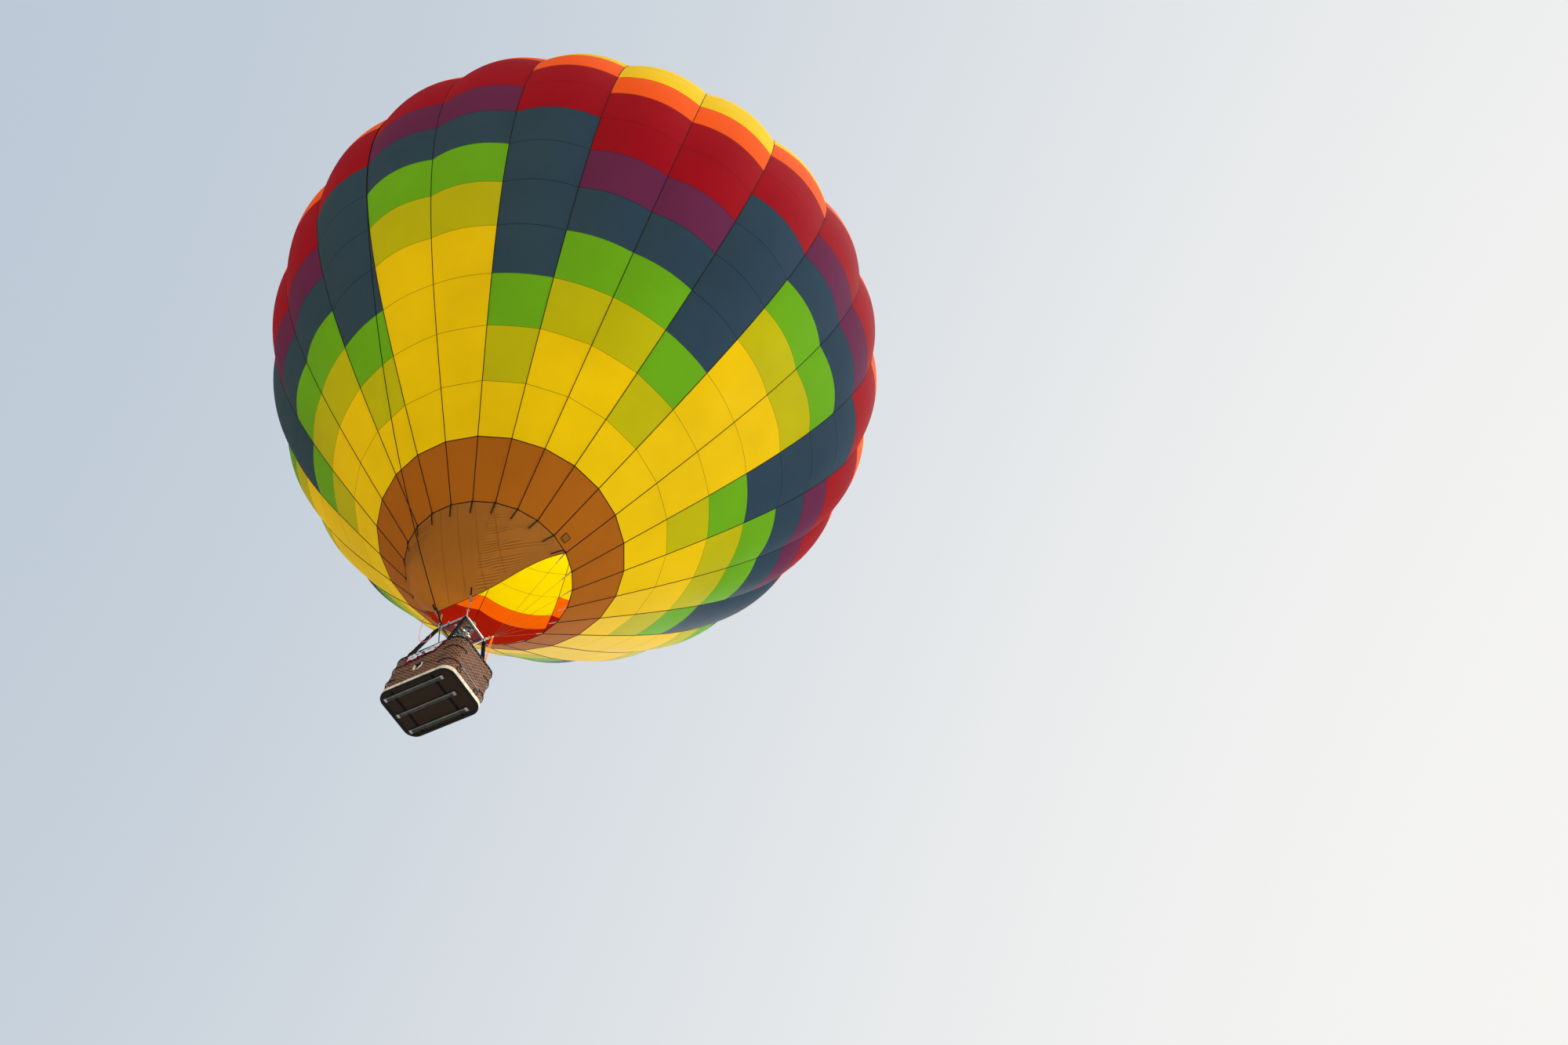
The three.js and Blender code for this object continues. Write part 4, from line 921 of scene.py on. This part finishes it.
# Gimbal ring with its pins
GIMBAL_X, GIMBAL_Y, BAR = 0.262, 0.248, 0.02
gimbal = Shape()
for side in (-1, 1):
    gimbal.block((BAR, 2 * GIMBAL_Y + BAR, BAR * 1.4), (side * GIMBAL_X, 0, Z0))
    gimbal.block((2 * GIMBAL_X - BAR, BAR, BAR * 1.4), (0, side * GIMBAL_Y, Z0))
    for near, far, radius, sides in ((0, 0.035, 0.008, 16), (0.0105, 0.0145, 0.015, 20)):
        gimbal.tube([(side * (GIMBAL_X + x), 0, Z0) for x in (near, far)], radius, sides)
gimbal.piece("gimbal_bars", DARK_PAINT, "frame_steel", "gimbal_ring", "gimbal")

# Burner: the block with its valves, then the two cans with their coils
BURNER_X, CAN_FOOT = 0.122, 0.0203
PIVOT = [(0, -0.254), (0.008, -0.254), (0.008, 0.254), (0, 0.254)]
FLANGE = [(0, -0.021), (0.058, -0.021), (0.062, -0.017), (0.062, 0.016), (0.058, 0.02), (0, 0.02)]
BLAST_VALVE = [(0, -0.096), (0.015, -0.096), (0.015, -0.07), (0.011, -0.066), (0.011, 0.066), (0.015, 0.07),
               (0.015, 0.096), (0, 0.096)]
PILOT = [(0, -0.11), (0.014, -0.11), (0.02, -0.104), (0.02, -0.092), (0.012, -0.086), (0.012, -0.078),
         (0, -0.078)]
KNOB = [(0, -0.012), (0.019, -0.012), (0.021, -0.006), (0.021, 0.008), (0, 0.01)]
SCREW = [(0, -0.008), (0.007, -0.008), (0.007, 0.0), (0, 0.001)]
CAN = [(0.04, 0.004), (0.04, 0.0), (0.1, 0.0), (0.106, 0.005), (0.106, 0.175), (0.1045, 0.18),
       (0.106, 0.185), (0.106, 0.21), (0.105, 0.215), (0.103, 0.215), (0.102, 0.21), (0.102, 0.008),
       (0.098, 0.004), (0.04, 0.004)]
RIVET = [(0, 0), (0.005, 0), (0.005, 0.0015), (0.003, 0.003), (0, 0.003)]
JET_RING = [(0, 0.006), (0.034, 0.006), (0.036, 0.01), (0.036, 0.022), (0.03, 0.026), (0, 0.026)]
JET = [(0, 0), (0.004, 0), (0.003, 0.008), (0, 0.008)]
COIL_TURNS, COIL_RADIUS, COIL_RISE, RIVETS, JETS = 7, 0.088, 0.16, 20, 10
base = Shape()
base.block((0.452, 0.034, 0.026), (0, 0, Z0 - 0.008))
base.block((0.04, 0.452, 0.026), (0, 0, Z0 - 0.008))
base.lathe(PIVOT, (0, 0, Z0), Y_AXIS, 20)
for side in (-1, 1):
    x = side * BURNER_X
    base.lathe(FLANGE, (x, 0, Z0), Z_AXIS, 40)
    base.block((0.07, 0.096, 0.056), (x, 0, Z0 - 0.05), slot=1)
    base.lathe(BLAST_VALVE, (x, 0, Z0 - 0.056), Y_AXIS, 24, slot=1)
    base.lathe(PILOT, (x, 0, Z0), Z_AXIS, 24, slot=2)
    lever = [(x, -0.05, -0.075), (x + side * 0.004, -0.085, -0.088), (x, -0.128, -0.086), (x, -0.15, -0.08)]
    base.tube(curve_through(lever, 6) + [0, 0, Z0], 0.0055, 10, slot=1)
    base.lathe(KNOB, (x, 0.106, Z0 - 0.056), Y_AXIS, 24, slot=2)
    for y in (-0.036, 0.036):
        base.lathe(SCREW, (x + side * 0.02, y, Z0 - 0.02), Z_AXIS, 8, slot=2)
base.piece("burner_body", [DULL, CHROME, BRASS], "valve_metal", "burner_base", "burner")
for k, side in enumerate((-1, 1), 1):
    foot = np.array([side * BURNER_X, 0, Z0 + CAN_FOOT])
    can = Shape().lathe(CAN, foot, Z_AXIS, 56)
    for a in round_angles(RIVETS):
        d = np.array([math.cos(a), math.sin(a), 0])
        can.lathe(RIVET, foot + [0, 0, 0.03] + d * 0.1052, d, 10, slot=1)
    can.piece(f"burner_can_sheet_{k}", [HEATED, STEEL], "can_steel", f"burner_can_{k}", "burner")
    t = np.linspace(0, COIL_TURNS * FULL_TURN, COIL_TURNS * 40)
    spiral = np.stack([COIL_RADIUS * np.cos(t), COIL_RADIUS * np.sin(t), 0.016 + COIL_RISE * t / t[-1]], -1)
    coil = Shape().tube(foot + spiral, 0.0085, 10)
    coil.lathe(JET_RING, foot, Z_AXIS, 30, slot=1)
    for a in round_angles(JETS):
        coil.lathe(JET, foot + [0.024 * math.cos(a), 0.024 * math.sin(a), 0.026], Z_AXIS, 8, slot=2)
    coil.piece(f"burner_coil_tube_{k}", [HEATED, DULL, BRASS], "coil_steel", f"burner_coil_{k}", "burner")

# Uprights: padded jackets with a zip and four straps
JACKET_RADIUS, STRAP_PLACES = 0.0345, (0.06, 0.36, 0.66, 0.94)
IN_SOCKET = 0.0705  # how much of an upright its socket takes
for c, (sx, sy) in enumerate(CORNERS):
    foot = upright_foot(sx, sy)
    rise = unit(frame_corner(sx, sy) - foot)
    length = np.linalg.norm(frame_corner(sx, sy) - foot) - IN_SOCKET
    ts = np.linspace(0, 1, 61)
    radius = JACKET_RADIUS + 0.0025 * np.sin(ts * 40) * np.sin(ts * 9 + c) + 0.0015 * np.sin(ts * 97)
    radius *= 1 - 0.1 * np.exp(-ts / 0.02) - 0.18 * np.exp(-(1 - ts) / 0.02)
    path = foot + np.outer(ts * length, rise)
    pad = Shape().tube(path, radius, 24)
    outer = square(rise, [-sy, sx, 0])
    pad.strap((path + outer * 0.0355)[1:-1], 0.016, 0.004, np.cross(rise, outer), slot=1)
    p, q = square(rise, X_AXIS), square(rise, np.cross(rise, X_AXIS))
    for place in STRAP_PLACES:
        girth = circle(foot + rise * length * place, p, q, 0.0372, 32)
        pad.strap(girth, 0.026, 0.003, rise, slot=1, closed=True)
    o = pad.piece(f"upright_jacket_{c + 1}", [JACKET, BLACK_TAPE], "upright_jacket", f"upright_{c + 1}")

# Basket
WALL_LOW, WALL_HIGH, WALL_INSET, WALL_THICKNESS = 0.025, 0.925, 0.009, 0.028
HOLE_X, HOLE_Z, HOLE_WIDTH, HOLE_HEIGHT = -0.04, 0.43, 0.16, 0.15


def round_basket(grow, count):
    """Points, lengths and outward normals round the basket's plan, grown by that much, from +X."""
    x, y, radius = BASKET_X + grow, BASKET_Y + grow, BASKET_CORNER + grow
    points = [np.array([x, 0.0])]
    for corner in rounded_corners(x, y, radius, np.linspace(0, 90, 13)):
        points += list(np.linspace(points[-1], corner[0], 12)[1:]) + corner[1:]
    points += list(np.linspace(points[-1], points[0], 12)[1:])
    points = np.array(points)
    at = np.concatenate([[0], np.cumsum(np.linalg.norm(np.diff(points, axis=0), axis=1))])
    along = np.linspace(0, at[-1], count + 1)[:-1]
    plan = np.stack([np.interp(along, at, points[:, k]) for k in range(2)], -1)
    t = np.roll(plan, -1, 0) - np.roll(plan, 1, 0)
    t /= np.linalg.norm(t, axis=1)[:, None]
    return plan, along, np.stack([t[:, 1], -t[:, 0]], -1)


def weave(grow, per_stake, facing):
    """The rows of points of the woven wall, two to a rod, and their u and v. facing: 1 outside, -1 inside."""
    count = STAKES * per_stake
    plan, _, normal = round_basket(grow, count)
    phase = math.pi * np.arange(count) / per_stake
    stake_gap = 0.0022 * np.exp(-(np.cos(phase) ** 2) / 0.02)
    rows, uv = [], []
    for row in range(2 * int((WALL_HIGH - WALL_LOW) / ROD) + 1):
        rod, middle = divmod(row, 2)
        height = WALL_LOW + (rod + middle / 2) * ROD
        over = 1 if int((WALL_LOW / ROD + rod) // BLOCK_ROWS) % 2 == 0 else -1
        bow = facing * over * np.cos(phase)
        if any(abs(height - waling) < 0.013 for waling in WALING):
            bow = 1.3 * np.cos(phase + math.pi * rod)
        single = 0.35 * (1 if rod % 2 else -1) * np.cos(phase)
        push = 0.005 * bow + 0.0012 * single + 0.0032 * middle - stake_gap - 0.004
        level = np.full((count, 1), low(height))
        rows.append(np.concatenate([plan + facing * normal * push[:, None], level], 1))
        uv += list(zip(phase / math.pi * STAKE_PITCH, np.full(count, height)))
    return np.array(rows), np.array(uv)


def without_holes(shape):
    """Leaves out the faces in the two step holes."""
    points, kept = np.concatenate(shape.points), []
    for face, slot in zip(shape.faces, shape.slots):
        x, y, z = points[list(face)].mean(0)
        off_x, off_z = abs(x + np.sign(y) * HOLE_X), abs(z - low(HOLE_Z))
        if not (abs(y) > 0.4 and off_x < HOLE_WIDTH / 2 and off_z < HOLE_HEIGHT / 2):
            kept.append((face, slot))
    shape.faces, shape.slots = (list(column) for column in zip(*kept))
    return shape


rows, uv = weave(-WALL_INSET, 6, 1)
wall = without_holes(Shape().grid(rows, wrap=True, uv=uv))
wall.piece("wicker_outside", WICKER, "wicker", "wicker_wall", angle=0, uv=True, period=STAKES * STAKE_PITCH)
rows, uv = weave(-WALL_INSET - WALL_THICKNESS, 4, -1)
lining = without_holes(Shape().grid(rows, wrap=True, uv=uv, flip=True))
lining.piece("wicker_inside", WICKER, "wicker", angle=0, uv=True, period=STAKES * STAKE_PITCH)

# The rims of the step holes. Their outline is in half widths and half heights
HOLE_OUTLINE = ((-1, 1), (-1, -0.2), (-0.7, -0.85), (0, -1.02), (0.7, -0.85), (1, -0.2), (1, 1))
trim = Shape()
for side in (-1, 1):
    w, h = HOLE_WIDTH / 2, HOLE_HEIGHT / 2
    centre = np.array([-side * HOLE_X, side * (BASKET_Y - WALL_MIDDLE), low(HOLE_Z)])
    outline = [centre + [x * w, 0, z * h] for x, z in HOLE_OUTLINE]
    trim.tube(curve_through(outline, 6), 0.019, 12, flat=1.1)
    trim.tube([centre + [-w, 0, h], centre + [0, 0, h + 0.004], centre + [w, 0, h]], 0.019, 12, slot=1)
trim.piece("step_hole_trim", [RAWHIDE, BLACK_HIDE], "rawhide")

# Padded rim, with its stitches
RIM_SECTIONS, STITCH_STEP = 400, 5
plan, along, normal = round_basket(-WALL_MIDDLE, RIM_SECTIONS)


def on_rim(k, t, wide, high):
    """A point of section k of the rim, an ellipse that wide and high about the wall's middle."""
    return [*(plan[k] + normal[k] * wide * math.cos(t)), low(RIM_HEIGHT) + high * math.sin(t)]


sections = []
for k, at in enumerate(along):
    bulge = 1 + 0.035 * math.sin(at * 52) + 0.03 * math.sin(at * 17.3) + 0.02 * math.sin(at * 131)
    sections.append([on_rim(k, t, 0.03 * bulge, 0.0275 * bulge) for t in round_angles(20)])
rim = Shape().grid(sections + sections[:1], wrap=True)
for k in range(0, RIM_SECTIONS, STITCH_STEP):
    rim.tube([on_rim(k, t, 0.0315, 0.029) for t in np.radians(np.linspace(200, 340, 7))], 0.0013, 6)
o = rim.piece("rim_hide", BLACK_HIDE, "leather", "rim_padding", angle=0)

# Rawhide scuff band with its black edge, and lacing
BAND_SECTION = [(-0.0087, 0.092), (-0.003, 0.0915), (-0.0005, 0.086), (0, 0.06), (-0.0005, 0.034), (0, 0.01),
                (-0.002, 0.003)]
EDGE_SECTION = [(-0.002, 0.004), (0.0, -0.001), (-0.0005, -0.008), (-0.004, -0.0118), (-0.02, -0.0118),
                (-0.055, -0.0105), (-0.058, -0.006), (-0.058, -0.0004)]
SCUFF_STEPS, LACE_STEP, LACE_LOW, LACE_HIGH = 360, 6, 0.072, 0.088
plan, along, normal = round_basket(0.0, SCUFF_STEPS)
scuff = Shape()
wobble = 0.0022 * np.sin(along * 23) * np.sin(along * 5.1)
for slot, section in enumerate((BAND_SECTION, EDGE_SECTION)):
    rows = []
    for off, height in section:
        lift = wobble if height > 0.05 else 0 * wobble
        rows.append(np.concatenate([plan + normal * off, (low(height) + lift)[:, None]], 1))
    scuff.grid(rows, slot, wrap=True, flip=True)
for k in range(0, SCUFF_STEPS, LACE_STEP):
    n = (k + 2) % SCUFF_STEPS
    start = np.array([*plan[k], low(LACE_LOW)])
    end = np.array([*(plan[n] - normal[n] * 0.001), low(LACE_HIGH)])
    scuff.tube([start, (start + end) / 2 + [*normal[k] * 0.002, 0], end], 0.0014, 6, slot=1)
scuff.piece("scuff_hide", [RAWHIDE, BLACK_HIDE], "rawhide", "scuff_band", angle=50)

# Runners under the floor, each a channel with rungs and end plates, and two straps
SKID_X, SKID_Y, SKID_LENGTH, RUNG_PITCH = -0.057, 0.372, 1.205, 0.04
BOLT = [(0.0, -0.0308), (0.007, -0.0308), (0.008, -0.0293), (0.008, -0.026)]
skids = Shape()
for y in (-SKID_Y, 0, SKID_Y):
    skids.block((SKID_LENGTH, 0.062, 0.008), (SKID_X, y, low(-0.0083)), bevel=0.2)
    for slot, off in ((1, -0.0275), (0, 0.0275)):
        skids.block((SKID_LENGTH, 0.007, 0.022), (SKID_X, y + off, low(-0.0203)), slot, bevel=0.2)
    for rung in np.arange(-0.58, 0.59, RUNG_PITCH):
        skids.block((0.014, 0.048, 0.008), (SKID_X + rung, y, low(-0.016)), bevel=0.2)
    for end in (-0.575, 0.575):
        skids.block((0.05, 0.076, 0.01), (SKID_X + end, y, low(-0.0262)), slot=1)
        for off in (-0.022, 0.022):
            skids.lathe(BOLT, (SKID_X + end, y + off, low(0)), Z_AXIS, 12, slot=1)
for x in (-0.46, 0.37):
    skids.strap([(x, -0.4975, low(-0.0028)), (x, 0.4975, low(-0.0028))], 0.046, 0.0045, X_AXIS, slot=2)
skids.piece("floor_runners", [SKID, DULL, BLACK_TAPE], "skid_metal", "floor_skids")

# Rope handles wrapped round the corners, and the rope loops with their cable on the +X wall
HANDLE_HEIGHTS, HANDLE_DIP, HANDLE_STEPS = (0.262, 0.645), 0.022, 800
HANDLE_FROM = (0.43, 0.24)  # where a handle ends, along the basket's long and short side
LOOP_PLACES, LOOP_RADIUS, LOOP_HEIGHT = (-0.285, 0.225), 0.052, 0.155
handles = Shape()
plan, along, normal = round_basket(0.0, HANDLE_STEPS)
for sx, sy in CORNERS:
    run = [k for k in range(HANDLE_STEPS) if all(plan[k] * (sx, sy) > HANDLE_FROM)]
    for height in HANDLE_HEIGHTS:
        path = []
        for k, t in zip(run, np.linspace(0, 1, len(run))):
            out = -0.004 + 0.01 * min(1, 8 * t, 8 * (1 - t))
            path.append([*(plan[k] + normal[k] * out), low(height + HANDLE_DIP * math.sin(math.pi * t))])
        handles.tube(path[::3], 0.0085, 10)
for y in LOOP_PLACES:
    ring = []
    for a in round_angles(32):
        x = BASKET_X - 0.001 + 0.004 * math.cos(2 * a)
        ring.append((x, y + LOOP_RADIUS * math.cos(a), low(LOOP_HEIGHT + LOOP_RADIUS * math.sin(a))))
    handles.tube(ring, 0.0075, 10, closed=True)
handles.piece("corner_handles", BLACK_HIDE, "leather")
cable = [(BASKET_X + 0.003, y, low(0.27 - 0.06 * (y + 0.24))) for y in np.linspace(-0.25, 0.27, 14)]
Shape().tube(cable, 0.0045, 10).piece("wall_cable", CABLE, "wire_steel")


# The blank banner under the rim on the -Y wall: pale, with a teal wave and maroon edges
def folds(x, y, seed):
    """Narrow ridges, from 0 to 1."""
    return (1 - np.abs(2 * soft_noise(x, y, seed) - 1)) ** 3


BANNER_COLUMNS, BANNER_ROWS = 80, 24
U, V = np.meshgrid(np.linspace(0, 1, BANNER_COLUMNS + 1), np.linspace(0, 1, BANNER_ROWS + 1))
drop = (0.245 - 0.05 * smooth(0.15, 0.5, U)) * (1 - 0.8 * smooth(0.72, 1.0, U))
drop += 0.05 * (1 - smooth(0, 0.2, U))
gather = soft_noise(U * 11, V * 2.2, 21) - 0.5
z = 0.9 - V * drop + 0.016 * gather * V
x = -0.405 + 0.82 * U + 0.012 * np.sin(U * 17 + 3 * V)
hang = 0.026 * folds(U * 14 + V * 1.5, V * 2.4, 22) + 0.014 * soft_noise(U * 30, V * 5, 23)
y = -(BASKET_Y + 0.002) - hang * smooth(0, 0.2, V) * (1 - 0.5 * smooth(0.85, 1, V))
banner = Shape().grid(np.stack([x, y, low(z)], -1), uv=np.stack([U, V * 0.3], -1))
for f in range(BANNER_ROWS * BANNER_COLUMNS):
    row, column = divmod(f, BANNER_COLUMNS)
    v, u = (row + 0.5) / BANNER_ROWS, (column + 0.5) / BANNER_COLUMNS
    stroke = abs(v - 0.5 - 0.1 * math.sin(u * 17)) < 0.055 + 0.05 * math.sin(u * 43) and 0.1 < u < 0.84
    edge = v > 0.8 + 0.05 * math.sin(u * 23) or u < 0.05 + 0.05 * v or u > 0.8 + 0.16 * (1 - v)
    upper = abs(v - 0.22) < 0.05 and 0.34 < u < 0.56
    banner.slots[f] = 1 if edge or upper else 2 if stroke else 0
banner = banner.piece("side_banner", [BANNER, MAROON, TEAL], "leather", angle=0, uv=True)

# Hose bundle in its cover, from the frame's corner down to the cylinders
HOSE_POINTS = [(0.286, -0.272, 2.06), (0.285, -0.3, 1.98), (0.275, -0.335, 1.7), (0.262, -0.385, 1.3),
               (0.24, -0.425, 0.98), (0.17, -0.45, 0.8), (0, -0.44, 0.745), (-0.2, -0.39, 0.765),
               (-0.36, -0.34, 0.765), (-0.49, -0.3205, 0.7453)]
bundle = curve_through([(x, y, low(z)) for x, y, z in HOSE_POINTS], 5)
hose = Shape().tube(bundle, 0.024, 16).piece("hose_bundle", JACKET, "upright_jacket")

# The crown line: down the cloth, free to the frame, knotted there, and its tail into the basket
CROWN_TAPE, CROWN_SAG, KNOTS = 17, 0.7, (-2, -4)
LEAVES_CLOTH = 8.5  # along the tape
on_cloth = on_ring(np.linspace(CROWN_EDGE + 0.2, LEAVES_CLOTH, 60), tape_bearing(CROWN_TAPE), -0.014)
finish = frame_corner(-1, -1) + [0.055, -0.03, 0.022]
free = between(on_cloth[-1], finish, 80, CROWN_SAG)[1:]
into_basket = [(-0.02, -0.4, low(1.45)), (0.16, -0.445, low(0.99)), (0.17, -0.44, low(0.86))]
tail = curve_through([finish, finish + [0.04, -0.03, -0.12]] + into_basket, 8)
crown_line = Shape().tube(np.concatenate([on_cloth, free, tail[1:]]), 0.009, 8)
for k in KNOTS:
    knot = [free[k] - (free[k] - free[k - 1]) * t for t in (-0.12, -0.05, 0.05, 0.12)]
    crown_line.tube(knot, [0.01, 0.017, 0.017, 0.01], 10)
crown_line.tube(free[-4:] + [0.012, 0, 0], 0.008, 8)
crown_line.piece("crown_line", BLACK_TAPE, "webbing")

# The slack red and white line, and the yellow and orange ones, tied on
SLACK_SAG = 0.3
foot, corner = upright_foot(-1, -1), frame_corner(-1, -1)


def near_upright(share, off):
    """A point at that share of the upright's height, moved by off."""
    return corner * share + foot * (1 - share) + off


upright_mid = near_upright(0.5, [-0.03, -0.04, 0.0])
slack = between(on_ring(0.0, tape_bearing(11), -0.02), upright_mid, 40, SLACK_SAG)
loop_offsets = ((0.42, [0.02, -0.05, -0.03]), (0.55, [0.085, -0.02, -0.08]), (0.66, [0.06, -0.03, -0.03]),
                (0.7, [0.01, -0.043, 0.0]))
ends = [near_upright(share, off) for share, off in loop_offsets]
slack = np.concatenate([slack, curve_through([upright_mid] + ends, 8)[1:]])
slack_line = Shape().tube(slack, 0.005, 8).piece("slack_line", RED_CORD, "webbing")
ties = Shape()
tie_offsets = ((1, [0, -0.022, 0.005]), (0.94, [0.03, -0.042, 0]), (0.86, [0.015, -0.041, 0]))
ties.strap([near_upright(share, off) for share, off in tie_offsets], 0.016, 0.003, (1, 0.2, 0))
hub, tie_end = hub_of(1, 1), np.array([0.745, 0.16, low(0.968)])
for split in (-0.012, 0.012):
    path = [hub + [0.01, split, 0], (hub + tie_end) / 2 + [0, split * 1.5, 0], tie_end + [0, split * 0.6, 0]]
    ties.strap(path, 0.014, 0.003, (0.3, 1, 0), slot=1)
ties.piece("tied_lines", [YELLOW_LINE, ORANGE_LINE], "webbing")

# Fuel cylinders in padded jackets, with straps and a valve
CYLINDER_RADIUS, CYLINDER_GAP, JACKET_STRAPS = 0.165, 0.012, (0.1, 0.3, 0.5)
FLOOR_TOP = 0.0183
SHOULDERS = [(0.15, 0.622), (0.12, 0.655), (0.08, 0.68), (0.045, 0.695), (0.04, 0.698)]
COLLAR = [(0.04, 0.69), (0.04, 0.704), (0.026, 0.706), (0.026, 0.745), (0, 0.746)]
OUTLET = [(0, -0.04), (0.012, -0.04), (0.012, 0.0), (0, 0)]
clear = WALL_THICKNESS + WALL_INSET + CYLINDER_GAP + CYLINDER_RADIUS
for c, (sx, sy) in enumerate([(-1, -1), (-1, 1), (1, 1)]):
    centre = np.array([sx * (BASKET_X - clear), sy * (BASKET_Y - clear), low(FLOOR_TOP)])
    profile = [(0, 0.0), (0.15, 0.0)]
    for t in np.linspace(0, 1, 41):
        height = 0.004 + t * 0.606
        pinch = 0.006 * sum(math.exp(-((height - q) / 0.012) ** 2) for q in JACKET_STRAPS)
        profile.append((0.158 + 0.004 * math.sin(t * 31 + c) - pinch, height))
    jacket = Shape().lathe(profile + SHOULDERS, centre, Z_AXIS, 48)
    for q in JACKET_STRAPS:
        girth = circle(centre + [0, 0, q], X_AXIS, Y_AXIS, 0.156, 48)
        jacket.strap(girth, 0.03, 0.004, Z_AXIS, slot=1, closed=True)
    jacket.lathe(COLLAR, centre, Z_AXIS, 24, slot=2)
    jacket.lathe(OUTLET, centre + [0, 0, 0.727], X_AXIS, 14, slot=2)
    materials = [JACKET, BLACK_TAPE, BRASS]
    o = jacket.piece(f"cylinder_jacket_{c + 1}", materials, "cylinder_jacket", f"fuel_cylinder_{c + 1}")

# Stage
FLOOR_REACH, FLOOR_HEIGHT = 400, -31.2
floor = bpy.data.meshes.new("studio_floor")
floor_corners = [(sx * FLOOR_REACH, sy * FLOOR_REACH, FLOOR_HEIGHT) for sx, sy in CORNERS]
floor.from_pydata(floor_corners, [], [(0, 1, 2, 3)])
floor.materials.append(pale_floor("pale_floor", (0.405, 0.405, 0.4), (0.435, 0.435, 0.43)))
floor_object = bpy.data.objects.new("studio_floor", floor)
link(floor_object)

bpy.context.view_layer.update()
